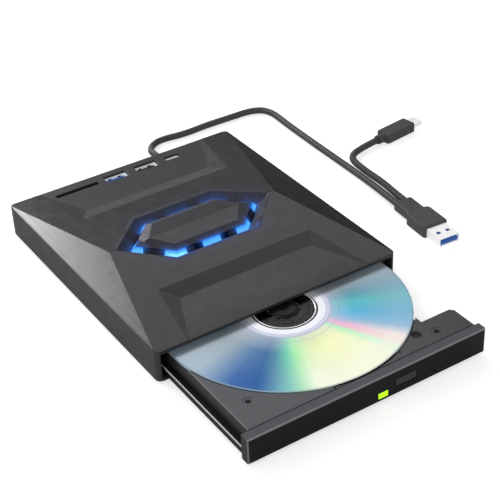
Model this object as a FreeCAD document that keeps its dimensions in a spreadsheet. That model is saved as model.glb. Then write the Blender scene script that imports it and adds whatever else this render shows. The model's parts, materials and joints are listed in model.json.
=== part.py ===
import FreeCAD, Part
import math
import os
import re
import Sketcher
from FreeCAD import Placement, Rotation, Vector

# An external disc drive for a desk, shown with its tray part of the way out.
# Millimetres. +Z is up, the tray slides out towards -Y, and +X is to the right of the tray's front.
# The origin lies on the desk, under the middle of the box that the drive fills with its tray out.

doc = FreeCAD.newDocument("disc_drive")
sizes = doc.addObject("Spreadsheet::Sheet", "sizes")
levels = doc.addObject("Spreadsheet::Sheet", "levels")

# Driving dimensions
SIZES = [
    ("case_width", 135.0, "width of the case"),
    ("case_depth", 155.0, "depth of the case from its mouth to its rear wall"),
    ("wall_height", 16.8, "height of the side walls above the underside"),
    ("ridge_rise", 4.4, "height of the roof's ridge above the side walls"),
    ("ridge_half", 48.5, "half of the ridge's length"),
    ("corner_radius", 3.0, "upright corners of the case"),
    ("side_wall", 2.5, "thickness of the side walls"),
    ("rear_wall", 2.0, "thickness of the rear wall"),
    ("roof_wall", 1.9, "thickness of the roof, measured upright"),
    ("base_wall", 1.0, "thickness of the base plate"),
    ("foot_height", 1.2, "height of the case's underside above the desk"),
    ("foot_radius", 5.0, "round rubber foot"),
    ("foot_inset", 11.0, "foot's centre from the case's sides"),
    ("foot_seat", 0.3, "depth of the foot's seat in the base plate"),
    ("fit_gap", 0.1, "gap between fixed neighbours"),
    ("run_gap", 0.3, "gap between sliding neighbours"),
    ("mouth_side_gap", 0.75, "gap on each side of the bezel in the mouth"),
    ("mouth_top_gap", 0.4, "gap above the bezel in the mouth"),
    ("scoop_back", 39.2, "depth of the trough in the roof, along the roof"),
    ("scoop_floor_back", 29.7, "depth of the trough's floor"),
    ("scoop_half", 44.0, "half width of the trough at its deep end"),
    ("scoop_floor_half", 37.2, "half width of the trough's floor at its deep end"),
    ("scoop_mouth_half", 51.0, "half width of the trough at the case's edge"),
    ("scoop_floor_height", 17.0, "deep end of the trough's floor above the underside"),
    ("scoop_lip", 0.15, "dip of the trough at the case's edge"),
    ("ring_half_length", 37.5, "light ring, half length from point to point"),
    ("ring_half_flat", 21.0, "light ring, half length of its long sides"),
    ("ring_half_width", 17.3, "light ring, half width between its long sides"),
    ("groove_height", 16.3, "bottom of the groove round the ring above the underside"),
    ("groove_run", 4.2, "outer wall of the groove, run over four fifths of its rise"),
    ("groove_rise", 3.7, "outer wall of the groove, its rise"),
    ("groove_skin", 1.8, "thickness of the roof round the groove"),
    ("window_run", 2.0, "sloping window band, its run"),
    ("window_rise", 3.0, "sloping window band, its rise"),
    ("island_run", 8.0, "bevel round the island, its run before the roof's slopes cut it"),
    ("island_rise", 2.6, "bevel round the island, its rise over that run"),
    ("window_half", 5.1, "half length of the windows in the middle of the long sides"),
    ("window_reach", 6.4, "reach of the windows round each corner of the ring"),
    ("skirt_wall", 0.9, "thickness of the island's skirt"),
    ("guide_wall", 1.3, "thickness of the light guide"),
    ("cap_wall", 1.5, "thickness of the island's cap"),
    ("ledge_width", 1.2, "ledge that carries the light guide"),
    ("ledge_sink", 0.9, "ledge below the bottom of the groove"),
    ("ledge_wall", 0.5, "thickness of that ledge"),
    ("led_board_wall", 0.8, "thickness of the board under the island"),
    ("port_setback", 7.7, "sockets from the rear of the case"),
    ("port_sink", 1.3, "sockets below the trough's floor"),
    ("card_slot_place", -31.0, "card slot across the case"),
    ("card_slot_width", 25.0, "card slot along the case's rear"),
    ("card_slot_gap", 2.6, "card slot across its thickness"),
    ("blue_port_place", -7.6, "fast socket across the case"),
    ("plain_port_place", 11.0, "second socket across the case"),
    ("small_port_place", 27.3, "small oval socket across the case"),
    ("port_length", 13.1, "rectangular socket's shell, long side"),
    ("port_width", 5.7, "rectangular socket's shell, short side"),
    ("port_shell", 0.35, "sheet of the sockets' shells"),
    ("port_window_place", 2.9, "openings in a rectangular socket's rear sheet, from its middle"),
    ("port_window_half", 1.1, "half width of those openings"),
    ("port_window_low", 2.4, "lower edge of those openings below the shell's mouth"),
    ("port_window_high", 0.7, "upper edge of those openings below the shell's mouth"),
    ("small_port_length", 9.0, "oval socket's shell, long side"),
    ("small_port_width", 3.3, "oval socket's shell, short side"),
    ("hub_board_height", 2.0, "hub board's underside above the case's underside"),
    ("hub_board_wall", 1.2, "thickness of the hub board"),
    ("hub_board_front", 25.4, "hub board's front edge from the rear of the case"),
    ("hub_board_rear", 4.1, "hub board's rear edge from the rear of the case"),
    ("hub_board_left", 52.0, "hub board's reach to the left"),
    ("hub_board_right", 44.0, "hub board's reach to the right"),
    ("boss_radius", 3.0, "screw bosses of the top cover"),
    ("boss_inset", 9.5, "screw bosses from the case's sides"),
    ("screw_radius", 1.0, "self-tapping screws"),
    ("screw_head", 1.9, "head radius of those screws"),
    ("sheet_steel", 0.5, "sheet of the inner drive's pan"),
    ("lid_steel", 0.4, "sheet of the inner drive's lid"),
    ("chassis_inset", 0.25, "inner drive's pan, in from the bezel's sides"),
    ("chassis_top", 14.2, "pan's rim above the case's underside"),
    ("chassis_front", 5.3, "pan's front edge from the mouth"),
    ("chassis_back", 26.5, "pan's rear face from the rear of the case"),
    ("bezel_low", 1.1, "bezel's lower edge above the case's underside"),
    ("bezel_height", 13.4, "height of the bezel"),
    ("bezel_depth", 5.0, "depth of the bezel"),
    ("bezel_wall", 2.0, "thickness of the bezel's face"),
    ("bezel_rim", 1.4, "thickness of the bezel's rim"),
    ("bezel_bevel", 0.5, "bevel round the bezel's face"),
    ("tray_out", 69.0, "how far the tray stands out of the mouth"),
    ("tray_length", 112.0, "length of the tray behind the bezel"),
    ("tray_height", 13.2, "tray's top above the case's underside"),
    ("tray_foot", 5.1, "tray's lower edge above the case's underside"),
    ("tray_wall", 1.6, "thickness of the tray's walls"),
    ("tray_ceiling", 10.2, "underside of the tray's floor above the case's underside"),
    ("tray_cutaway", 18.0, "how much narrower the tray is behind its front strip"),
    ("strip_depth", 17.0, "depth of the tray's full-width front strip"),
    ("rail_width", 3.4, "width of the rails on the tray's sides"),
    ("rail_height", 3.7, "height of those rails"),
    ("rail_wall", 0.8, "thickness of those rails"),
    ("slide_width", 2.4, "width of the sliding rails under the tray"),
    ("slide_height", 2.5, "height of the sliding rails"),
    ("slide_length", 110.0, "length of the sliding rails"),
    ("guide_width", 2.4, "width of the fixed guides beside the sliding rails"),
    ("disc_radius", 60.0, "disc"),
    ("disc_wall", 1.2, "thickness of the disc"),
    ("disc_hole", 7.5, "radius of the disc's hole"),
    ("disc_proud", 0.1, "disc's top above the tray's top"),
    ("disc_setback", 67.3, "disc's centre behind the bezel's face"),
    ("recess_gap", 0.8, "gap round the disc in the tray"),
    ("recess_depth", 1.8, "depth of the tray's round recess"),
    ("spindle_opening", 16.4, "radius of the tray's opening round the turntable"),
    ("lens_opening", 24.0, "width of the tray's opening over the lens"),
    ("lens_opening_reach", 63.0, "far end of that opening from the spindle"),
    ("turntable_radius", 14.6, "turntable"),
    ("hub_radius", 7.3, "turntable's hub inside the disc's hole"),
    ("hub_tip_radius", 5.6, "top of the hub"),
    ("hub_rise", 0.6, "hub's top above the disc"),
    ("pad_wall", 0.5, "rubber pad on the turntable"),
    ("motor_radius", 12.6, "spindle motor"),
    ("motor_height", 2.2, "height of the spindle motor"),
    ("traverse_height", 5.6, "traverse plate above the case's underside"),
    ("traverse_wall", 0.8, "thickness of the traverse plate"),
    ("traverse_half", 22.0, "half width of the traverse plate"),
    ("sled_half", 14.5, "half width of the pickup sled"),
    ("sled_inner", 9.0, "sled's edge from the lens, towards the spindle"),
    ("sled_outer", 6.0, "sled's edge from the lens, away from the spindle"),
    ("sled_low", 6.0, "sled's underside above the case's underside"),
    ("sled_high", 9.5, "sled's top above the case's underside"),
    ("lens_place", 40.0, "lens from the spindle with the sled at rest"),
    ("lens_travel", 16.0, "sled's travel each way"),
    ("lens_radius", 2.6, "objective lens"),
    ("bar_radius", 1.1, "guide rods of the sled"),
    ("bar_place", 12.5, "guide rods from the sled's middle"),
    ("bar_level", 7.7, "guide rods above the case's underside"),
    ("thread_radius", 1.2, "lead screw"),
    ("thread_place", 18.0, "lead screw from the sled's middle"),
    ("thread_level", 8.1, "lead screw above the case's underside"),
    ("button_place", 18.8, "eject button across the bezel"),
    ("button_level", 7.35, "eject button above the case's underside"),
    ("button_length", 11.4, "eject button"),
    ("button_height", 3.7, "eject button"),
    ("button_gap", 0.15, "gap round the eject button"),
    ("button_travel", 0.6, "eject button's travel"),
    ("lamp_place", 6.1, "lamp across the bezel"),
    ("lamp_level", 4.3, "lamp above the case's underside"),
    ("lamp_length", 5.2, "lamp"),
    ("lamp_height", 3.0, "lamp"),
    ("pinhole_place", 34.9, "emergency eject hole across the bezel"),
    ("pinhole_level", 4.1, "emergency eject hole above the case's underside"),
    ("pinhole_radius", 0.6, "emergency eject hole"),
    ("left_hole_place", -49.3, "left fixing hole of the tray"),
    ("left_hole_setback", 22.3, "left fixing hole behind the bezel's face"),
    ("right_hole_place", 46.5, "right fixing hole of the tray"),
    ("right_hole_setback", 12.9, "right fixing hole behind the bezel's face"),
    ("fixing_hole", 1.3, "radius of the fixing holes"),
    ("countersink", 2.5, "radius of the rings round the fixing holes"),
    ("latch_swing", 25.0, "latch lever's swing, in degrees"),
    ("latch_pin_radius", 0.9, "pin that the latch hooks"),
    ("boot_place", 30.0, "cable's exit across the case"),
    ("boot_level", 5.6, "cable's exit above the case's underside"),
    ("boot_length", 12.0, "strain relief behind the case"),
    ("boot_radius", 3.6, "strain relief at the case"),
    ("boot_tip", 2.5, "strain relief at the cable"),
    ("cord_radius", 1.9, "host cable and its branch"),
    ("plug_width", 15.0, "large plug's body"),
    ("plug_wall", 6.8, "large plug's body, thickness"),
    ("plug_length", 17.5, "large plug's body, length"),
    ("neck_length", 12.5, "large plug's neck, which takes both cables"),
    ("neck_width", 11.4, "large plug's neck"),
    ("neck_wall", 5.6, "large plug's neck, thickness"),
    ("plug_shoulder", 2.8, "rounding of the large plug's rear corners, seen from above"),
    ("plug_nose", 1.4, "rounding of the plugs' front corners, seen from above"),
    ("plug_rim", 0.9, "rounding of the plugs' upper and lower rims"),
    ("cord_spacing", 5.2, "two cables side by side in the neck"),
    ("shell_width", 12.0, "large plug's metal shell"),
    ("shell_height", 4.5, "large plug's metal shell"),
    ("shell_length", 11.8, "large plug's metal shell"),
    ("small_plug_width", 9.8, "small plug's body"),
    ("small_plug_wall", 5.8, "small plug's body, thickness"),
    ("small_plug_length", 22.6, "small plug's body, length"),
    ("small_neck_length", 4.2, "small plug's neck"),
    ("small_neck_radius", 2.7, "small plug's neck"),
    ("small_plug_shoulder", 1.6, "rounding of the small plug's rear corners, seen from above"),
    ("small_tip_length", 6.7, "small plug's metal tip"),
    ("small_tip_width", 8.3, "small plug's metal tip"),
    ("small_tip_height", 2.5, "small plug's metal tip"),
]

# Places that follow from those dimensions, in the drive's own frame
LEVELS = [
    ("underside", "foot_height"),
    ("mouth", "(tray_out - case_depth) / 2"),
    ("case_rear", "(tray_out + case_depth) / 2"),
    ("case_middle", "tray_out / 2"),
    ("bezel_face", "mouth - tray_out"),
    ("bezel_back", "bezel_face + bezel_depth"),
    ("wall_top", "underside + wall_height"),
    ("ridge_top", "wall_top + ridge_rise"),
    ("base_top", "underside + base_wall"),
    ("inner_half", "case_width / 2 - side_wall"),
    ("inner_rear", "case_rear - rear_wall"),
    ("bezel_half", "inner_half - mouth_side_gap"),
    ("bezel_foot", "underside + bezel_low"),
    ("bezel_top", "bezel_foot + bezel_height"),
    ("mouth_top", "bezel_top + mouth_top_gap"),
    ("pan_half", "bezel_half - chassis_inset"),
    ("bay_half", "pan_half - sheet_steel"),
    ("pan_low", "base_top + fit_gap"),
    ("pan_floor", "pan_low + sheet_steel"),
    ("pan_top", "underside + chassis_top"),
    ("lid_top", "pan_top + lid_steel"),
    ("pan_front", "mouth + chassis_front"),
    ("pan_rear", "case_rear - chassis_back"),
    ("tray_low", "underside + tray_foot"),
    ("tray_top", "underside + tray_height"),
    ("ceiling", "underside + tray_ceiling"),
    ("recess_floor", "tray_top - recess_depth"),
    ("tray_rear", "bezel_back + tray_length"),
    ("strip_rear", "bezel_back + strip_depth"),
    ("rail_outer", "bay_half - 1.7 * run_gap"),
    ("tray_edge", "rail_outer - rail_width"),
    ("strip_edge", "rail_outer"),
    ("tray_reach", "strip_edge - tray_cutaway"),
    ("rods_end", "(tray_edge - tray_wall - 1.9) / sqrt(0.5) - bar_place - 4.3"),
    ("rail_low", "pan_floor + run_gap"),
    ("rail_top", "rail_low + rail_height"),
    ("slide_low", "pan_floor + 1.3 * run_gap"),
    ("slide_top", "slide_low + slide_height"),
    ("slide_front", "bezel_back + 0.5 * tray_out + 0.5"),
    ("disc_middle", "bezel_face + disc_setback"),
    ("disc_top", "tray_top + disc_proud"),
    ("disc_low", "disc_top - disc_wall"),
    ("hub_top", "disc_top + hub_rise"),
    ("plate_low", "underside + traverse_height"),
    ("plate_top", "plate_low + traverse_wall"),
    ("motor_top", "plate_top + motor_height"),
    ("ports_line", "case_rear - port_setback"),
    ("ports_top", "wall_top - port_sink"),
    ("hub_low", "underside + hub_board_height"),
    ("hub_high", "hub_low + hub_board_wall"),
    ("groove_level", "underside + groove_height"),
    ("ledge_top", "groove_level - ledge_sink"),
    ("ledge_low", "ledge_top - ledge_wall"),
    ("window_top", "groove_level + window_rise"),
    ("cord_level", "cord_radius + fit_gap"),
    ("plug_level", "plug_wall / 2 + fit_gap"),
    ("small_plug_level", "small_plug_wall / 2 + fit_gap"),
]

SIZE_NAMES = {name for name, number, meaning in SIZES}
LEVEL_NAMES = {name for name, formula in LEVELS}
WORD = re.compile(r"[a-z][a-z_]*")


def bind(formula, inside_levels=False):
    """Point each size and place that a formula names at its sheet."""
    def address(match):
        word = match.group(0)
        if word in SIZE_NAMES:
            return "sizes." + word
        if word in LEVEL_NAMES and not inside_levels:
            return "levels." + word
        return word
    return WORD.sub(address, formula)


for row, (name, number, meaning) in enumerate(SIZES, 1):
    sizes.set("A%d" % row, meaning)
    sizes.set("B%d" % row, str(number))
    sizes.setAlias("B%d" % row, name)
for row, (name, formula) in enumerate(LEVELS, 1):
    levels.set("A%d" % row, name.replace("_", " "))
    levels.setAlias("B%d" % row, name)
for row, (name, formula) in enumerate(LEVELS, 1):
    levels.set("B%d" % row, "=" + bind(formula, inside_levels=True))
doc.recompute()


def value(name):
    """The number in a sheet's cell."""
    sheet = sizes if name in SIZE_NAMES else levels
    return float(sheet.get(name))


# Feature helpers
TURNS = {"x": Rotation(Vector(0, 1, 0), 90), "y": Rotation(Vector(1, 0, 0), -90), "z": Rotation()}
SLANT = Rotation(Vector(0, 0, 1), 225)


def block(label, x, y, z):
    """A box between pairs of places along each axis."""
    box = doc.addObject("Part::Box", label)
    for (low, high), side, axis in zip((x, y, z), ("Length", "Width", "Height"), "xyz"):
        box.setExpression(side, bind("(%s) - (%s)" % (high, low)))
        box.setExpression("Placement.Base." + axis, bind(low))
    return box


def rod(label, radius, x, y, z, tip=None):
    """A cylinder, or a cone with a tip radius, along the axis that is given as a pair of places."""
    kind = "Part::Cone" if tip else "Part::Cylinder"
    solid = doc.addObject(kind, label)
    solid.setExpression("Radius1" if tip else "Radius", bind(radius))
    if tip:
        solid.setExpression("Radius2", bind(tip))
    for span, axis in zip((x, y, z), "xyz"):
        if isinstance(span, tuple):
            solid.Placement = Placement(Vector(), TURNS[axis])
            solid.setExpression("Height", bind("(%s) - (%s)" % (span[1], span[0])))
    for span, axis in zip((x, y, z), "xyz"):
        start = span[0] if isinstance(span, tuple) else span
        solid.setExpression("Placement.Base." + axis, bind(start))
    return solid


def slanted(solid, along, across, z, turn=Rotation()):
    """Stand a solid in the traverse's frame: along runs from the spindle to the tray's left front corner."""
    solid.Placement = Placement(Vector(), SLANT.multiply(turn))
    solid.setExpression("Placement.Base.x", bind("((%s) - (%s)) * sqrt(0.5)" % (across, along)))
    solid.setExpression("Placement.Base.y", bind("disc_middle - ((%s) + (%s)) * sqrt(0.5)" % (along, across)))
    solid.setExpression("Placement.Base.z", bind(z))
    return solid


def slant_block(label, along, across, z):
    """A box in the traverse's frame."""
    box = doc.addObject("Part::Box", label)
    for (low, high), side in zip((along, across, z), ("Length", "Width", "Height")):
        box.setExpression(side, bind("(%s) - (%s)" % (high, low)))
    return slanted(box, along[0], across[0], z[0])


def slant_rod(label, radius, along, across, z):
    """A rod along the traverse, or an upright one where the height is a pair."""
    solid = doc.addObject("Part::Cylinder", label)
    solid.setExpression("Radius", bind(radius))
    if isinstance(along, tuple):
        solid.setExpression("Height", bind("(%s) - (%s)" % (along[1], along[0])))
        return slanted(solid, along[0], across, z, TURNS["x"])
    solid.setExpression("Height", bind("(%s) - (%s)" % (z[1], z[0])))
    return slanted(solid, along, across, z[0])


def join(label, *pieces):
    """One solid out of touching pieces."""
    fused = doc.addObject("Part::MultiFuse", label)
    fused.Shapes = list(pieces)
    fused.Refine = True
    return fused


def cut(label, base, *tools):
    """A piece with others taken away from it."""
    result = doc.addObject("Part::Cut", label)
    result.Base = base
    result.Tool = tools[0] if len(tools) == 1 else join(label + "_tools", *tools)
    result.Refine = True
    return result


def overlap(label, *pieces):
    """What several pieces have in common."""
    shared = doc.addObject("Part::MultiCommon", label)
    shared.Shapes = list(pieces)
    shared.Refine = True
    return shared


def group(label, *pieces):
    """Separate solids that share one node."""
    together = doc.addObject("Part::Compound", label)
    together.Links = list(pieces)
    return together


def oval(label, x, y, z):
    """An upright block with half-round ends, longer along X than along Y."""
    half = "((%s) - (%s)) / 2" % (y[1], y[0])
    line = "((%s) + (%s)) / 2" % (y[0], y[1])
    ends = ("%s + %s" % (x[0], half), "%s - %s" % (x[1], half))
    return join(label, block(label + "_middle", ends, y, z), rod(label + "_left", half, ends[0], line, z),
                rod(label + "_right", half, ends[1], line, z))


def made(label, shape):
    """A piece whose faces are worked out below from the sheets."""
    feature = doc.addObject("Part::Feature", label)
    feature.Shape = shape
    return feature


def soften(label, base, radius, wanted, bevel=False):
    """Round or bevel the edges that a test picks."""
    doc.recompute()
    feature = doc.addObject("Part::Chamfer" if bevel else "Part::Fillet", label)
    feature.Base = base
    amount = value(radius)
    picked = [number for number, edge in enumerate(base.Shape.Edges, 1) if wanted(edge)]
    feature.Edges = [(number, amount, amount) for number in picked]
    return feature


def upright(edge):
    """True for an edge along Z."""
    start, end = edge.Vertexes[0].Point, edge.Vertexes[-1].Point
    return abs(start.x - end.x) < 1e-6 and abs(start.y - end.y) < 1e-6


# Faceted forms, from corner points
def polyhedron(faces):
    """A solid with flat faces, each given by its corners."""
    shell = Part.Shell([Part.Face(Part.makePolygon(list(face) + [face[0]])) for face in faces])
    solid = Part.Solid(shell)
    solid.fixTolerance(1e-6)
    if solid.Volume < 0:
        solid.reverse()
    return solid


def frustum(low_ring, high_ring):
    """A solid between two rings of corners that match one to one."""
    sides = []
    for here in range(len(low_ring)):
        after = (here + 1) % len(low_ring)
        sides.append((low_ring[here], low_ring[after], high_ring[after], high_ring[here]))
    return polyhedron([low_ring, high_ring] + sides)


def hexagon(offset, z):
    """Corners of the ring's six-sided outline, moved outwards by an offset."""
    length, flat, width = value("ring_half_length"), value("ring_half_flat"), value("ring_half_width")
    slope = math.hypot(width, length - flat)
    out_x, out_y = width / slope, (length - flat) / slope
    point = length + offset / out_x
    corner = flat + offset * (1 - out_y) / out_x
    side = width + offset
    middle = value("case_middle")
    plan = [(point, 0), (corner, side), (-corner, side), (-point, 0), (-corner, -side), (corner, -side)]
    return [Vector(x, middle + y, z) for x, y in plan]


def hexagon_block(offset, low, high):
    """An upright six-sided block."""
    return frustum(hexagon(offset, low), hexagon(offset, high))


def roof_form(drop):
    """The case's hipped form, lowered by a drop: its ridge runs from side to side."""
    half, ridge = value("case_width") / 2, value("ridge_half")
    front, rear, middle = value("mouth"), value("case_rear"), value("case_middle")
    low, eave, top = value("underside") - 10, value("wall_top") - drop, value("ridge_top") - drop
    base = [Vector(-half, front, low), Vector(half, front, low), Vector(half, rear, low),
            Vector(-half, rear, low)]
    rim = [Vector(point.x, point.y, eave) for point in base]
    left, right = Vector(-ridge, middle, top), Vector(ridge, middle, top)
    walls = [(base[n], base[(n + 1) % 4], rim[(n + 1) % 4], rim[n]) for n in range(4)]
    slopes = [(rim[0], rim[1], right, left), (rim[1], rim[2], right), (rim[2], rim[3], left, right),
              (rim[3], rim[0], left)]
    return polyhedron([base] + walls + slopes)


def meet(first, second, third):
    """The point that three planes share, each given as a point and a normal."""
    (point_a, a), (point_b, b), (point_c, c) = first, second, third
    total = b.cross(c) * a.dot(point_a) + c.cross(a) * b.dot(point_b) + a.cross(b) * c.dot(point_c)
    return total / a.dot(b.cross(c))


def plane_through(p, q, r):
    """A plane as a point and a normal."""
    return p, (q - p).cross(r - p)


def trough_form(side, drop):
    """What the roof's trough takes away, at the mouth for side -1 and at the rear for side 1."""
    middle, edge = value("case_middle"), value("case_depth") / 2
    eave, rise = value("wall_top"), value("ridge_rise")
    back, floor_back = edge - value("scoop_back"), edge - value("scoop_floor_back")
    roof_level = eave + rise * value("scoop_back") / edge
    floor_level = value("underside") + value("scoop_floor_height")
    outer = [Vector(end * value("scoop_half"), middle + side * back, roof_level - drop) for end in (-1, 1)]
    inner = [Vector(end * value("scoop_floor_half"), middle + side * floor_back,
                    floor_level - drop) for end in (-1, 1)]
    ends = [Vector(end * value("scoop_mouth_half"), middle + side * edge, eave - drop) for end in (-1, 1)]
    lip = Vector(0, middle + side * edge, eave - value("scoop_lip") - drop)
    floor = plane_through(inner[0], inner[1], lip)
    rear = plane_through(outer[0], outer[1], inner[0])
    flanks = [plane_through(outer[n], inner[n], ends[n]) for n in (0, 1)]
    front = (Vector(0, middle + side * (edge + 4), 0), Vector(0, 1, 0))
    sky = (Vector(0, 0, value("ridge_top") + 1), Vector(0, 0, 1))
    low_ring = [meet(floor, rear, flanks[0]), meet(floor, rear, flanks[1])]
    low_ring += [meet(floor, front, flanks[1]), meet(floor, front, flanks[0])]
    high_ring = [meet(sky, rear, flanks[0]), meet(sky, rear, flanks[1])]
    high_ring += [meet(sky, front, flanks[1]), meet(sky, front, flanks[0])]
    return frustum(low_ring, high_ring)


def groove_form(widen, level):
    """The sunken field round the light ring, widened by a skin where it shapes the roof's underside."""
    rise = value("groove_rise") + value("ridge_rise") + value("window_rise")
    run = rise * value("groove_run") / value("groove_rise")
    return frustum(hexagon(widen, level), hexagon(widen + run, level + rise))


def island_form(shrink, drop):
    """The raised island inside the ring: a sloping window band, a bevel and the roof's own slopes."""
    groove, band_top = value("groove_level") - drop, value("window_top") - drop
    run = value("window_run")
    bevel, bevel_rise = value("island_run"), value("island_rise")
    edge = -value("fit_gap") - shrink
    foot = hexagon_block(edge, value("ledge_top"), groove + 1e-4)
    band = frustum(hexagon(edge, groove), hexagon(edge - run, band_top))
    cap = frustum(hexagon(edge - run, band_top), hexagon(edge - run - bevel, band_top + bevel_rise))
    return foot.fuse([band, cap]).removeSplitter().common(roof_form(drop))


# Case
def case_shell():
    """The top cover: side walls, hipped roof with its troughs, and the six-sided light opening."""
    outline = block("case_outline", ("-case_width / 2", "case_width / 2"), ("mouth", "case_rear"),
                    ("underside", "ridge_top + 1"))
    outline = soften("case_corners", outline, "corner_radius", upright)
    form = overlap("case_form", outline, made("case_roof", roof_form(0)))
    bay = block("bay_space", ("-inner_half", "inner_half"), ("mouth - 1", "inner_rear"),
                ("underside - 1", "ridge_top"))
    bay = overlap("bay_under_roof", bay, made("roof_underside", roof_form(value("roof_wall"))))
    drop = value("roof_wall")
    keep = [made("trough_under_%d" % n, trough_form(side, drop)) for n, side in enumerate((-1, 1))]
    skin = value("groove_skin")
    keep.append(made("groove_under", groove_form(skin, value("ledge_low"))))
    bay = cut("bay_cut", bay, *keep)
    mouth = block("mouth_space", ("-inner_half", "inner_half"), ("mouth - 1", "mouth + 2"),
                  ("underside - 1", "mouth_top"))
    troughs = [made("trough_%d" % n, trough_form(side, 0)) for n, side in enumerate((-1, 1))]
    groove = made("groove", groove_form(0, value("groove_level")))
    well = made("ring_well", hexagon_block(0, value("ledge_top"), value("groove_level") + 1))
    ledge = -value("ledge_width")
    hole = made("ring_hole", hexagon_block(ledge, value("underside"), value("groove_level")))
    shell = cut("case_hollow", form, bay, mouth, *troughs, groove, well, hole)
    bosses = []
    pilots = []
    for number, (x, y) in enumerate(BOSSES):
        bosses.append(rod("cover_boss_%d" % number, "boss_radius", x, y, ("base_top + fit_gap", "wall_top")))
        pilots.append(rod("cover_pilot_%d" % number, "screw_radius - 0.1", x, y,
                          ("base_top", "base_top + 9")))
    cutters = [(oval if name == "small" else block)("slot_" + name, x, y,
                                                    ("wall_top - roof_wall - 3", "wall_top + 2"))
               for name, x, y in port_cutouts()]
    exit_hole = rod("cable_hole", "boot_radius", "boot_place", ("inner_rear - 1", "case_rear + 1"),
                    "underside + boot_level")
    solid = join("case_with_bosses", shell, *bosses)
    return cut("top_cover", solid, *pilots, *cutters, exit_hole)


BOSSES = [(x, y) for x in ("boss_inset - case_width / 2", "case_width / 2 - boss_inset")
          for y in ("case_rear - 7.5", "case_rear - 22")]


def port_cutouts():
    """Name, span across and span along of each opening in the roof for a socket."""
    spans = [
        ("card", "card_slot_place", "card_slot_width", "card_slot_gap"),
        ("blue", "blue_port_place", "port_length + 0.3", "port_width + 0.3"),
        ("plain", "plain_port_place", "port_length + 0.3", "port_width + 0.3"),
        ("small", "small_port_place", "small_port_length + 0.3", "small_port_width + 0.3"),
    ]
    for name, place, length, width in spans:
        x = ("%s - (%s) / 2" % (place, length), "%s + (%s) / 2" % (place, length))
        y = ("ports_line - (%s) / 2" % width, "ports_line + (%s) / 2" % width)
        yield name, x, y


def base_plate():
    """The bottom cover, let in between the side walls, with seats for feet and screws."""
    plate = block("base_slab", ("fit_gap - inner_half", "inner_half - fit_gap"),
                  ("mouth", "inner_rear - fit_gap"), ("underside", "base_top"))
    posts = [rod("board_post_%d" % n, "2.2", x, y, ("underside", "hub_low"))
             for n, (x, y) in enumerate(BOARD_POSTS)]
    cutters = [rod("foot_seat_%d" % n, "foot_radius + fit_gap", x, y,
                   ("underside - 1", "underside + foot_seat"))
               for n, (x, y) in enumerate(FEET)]
    for number, (x, y) in enumerate(BOSSES):
        cutters.append(rod("cover_screw_hole_%d" % number, "screw_radius + fit_gap", x, y,
                           ("underside - 1", "base_top + 1")))
        cutters.append(rod("cover_screw_seat_%d" % number, "screw_head + fit_gap", x, y,
                           ("underside - 1", "underside + 0.6")))
    for number, (x, y) in enumerate(DRIVE_SCREWS):
        cutters.append(rod("drive_screw_hole_%d" % number, "screw_radius + fit_gap", x, y,
                           ("underside - 1", "base_top + 1")))
        cutters.append(rod("drive_screw_seat_%d" % number, "screw_head + fit_gap", x, y,
                           ("underside - 1", "underside + 0.6")))
    return cut("bottom_cover", join("base_with_posts", plate, *posts), *cutters)


FEET = [(x, y) for x in ("foot_inset - case_width / 2", "case_width / 2 - foot_inset")
        for y in ("mouth + foot_inset", "case_rear - 39")]
BOARD_POSTS = [(x, y) for x in ("4 - hub_board_left", "hub_board_right - 4")
               for y in ("case_rear - hub_board_front + 3.5", "case_rear - hub_board_rear - 3.5")]
DRIVE_SCREWS = [(x, y) for x in ("-35", "24") for y in ("mouth + 25", "mouth + 105")]


def screws():
    """Screws of the top cover, of the inner drive and of the hub board."""
    cover, drive = [], []
    for number, (x, y) in enumerate(BOSSES):
        head = rod("cover_head_%d" % number, "screw_head", x, y, ("underside + 0.1", "underside + 0.6"))
        shank = rod("cover_shank_%d" % number, "screw_radius - 0.1", x, y,
                    ("underside + 0.5", "base_top + 7"))
        cover.append(join("cover_screw_%d" % number, head, shank))
    for number, (x, y) in enumerate(DRIVE_SCREWS):
        head = rod("drive_head_%d" % number, "screw_head", x, y, ("underside + 0.1", "underside + 0.6"))
        shank = rod("drive_shank_%d" % number, "screw_radius", x, y, ("underside + 0.5", "pan_floor"))
        drive.append(join("drive_screw_%d" % number, head, shank))
    return group("case_screws", *cover), group("drive_screws", *drive)


def feet():
    """Four rubber feet, each with a bevelled rim."""
    pads = []
    for number, (x, y) in enumerate(FEET):
        bevel = rod("foot_bevel_%d" % number, "foot_radius - 0.5", x, y, ("0", "0.5"), tip="foot_radius")
        body = rod("foot_body_%d" % number, "foot_radius", x, y, ("0.5", "underside + foot_seat"))
        pads.append(join("foot_%d" % number, bevel, body))
    return group("rubber_feet", *pads)


# Light ring and island
def window_prisms(low, high):
    """Upright prisms over the windows: one round each corner and one on each long side."""
    prisms = []
    middle = value("case_middle")
    reach = value("window_reach")
    for corner in hexagon(0, low):
        prisms.append(Part.makeCylinder(reach, high - low, corner))
    half, width = value("window_half"), value("ring_half_width")
    for side in (-1, 1):
        start = Vector(-half, middle + side * width - 4, low)
        prisms.append(Part.makeBox(2 * half, 8, high - low, start))
    return prisms[0].fuse(prisms[1:])


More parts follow.
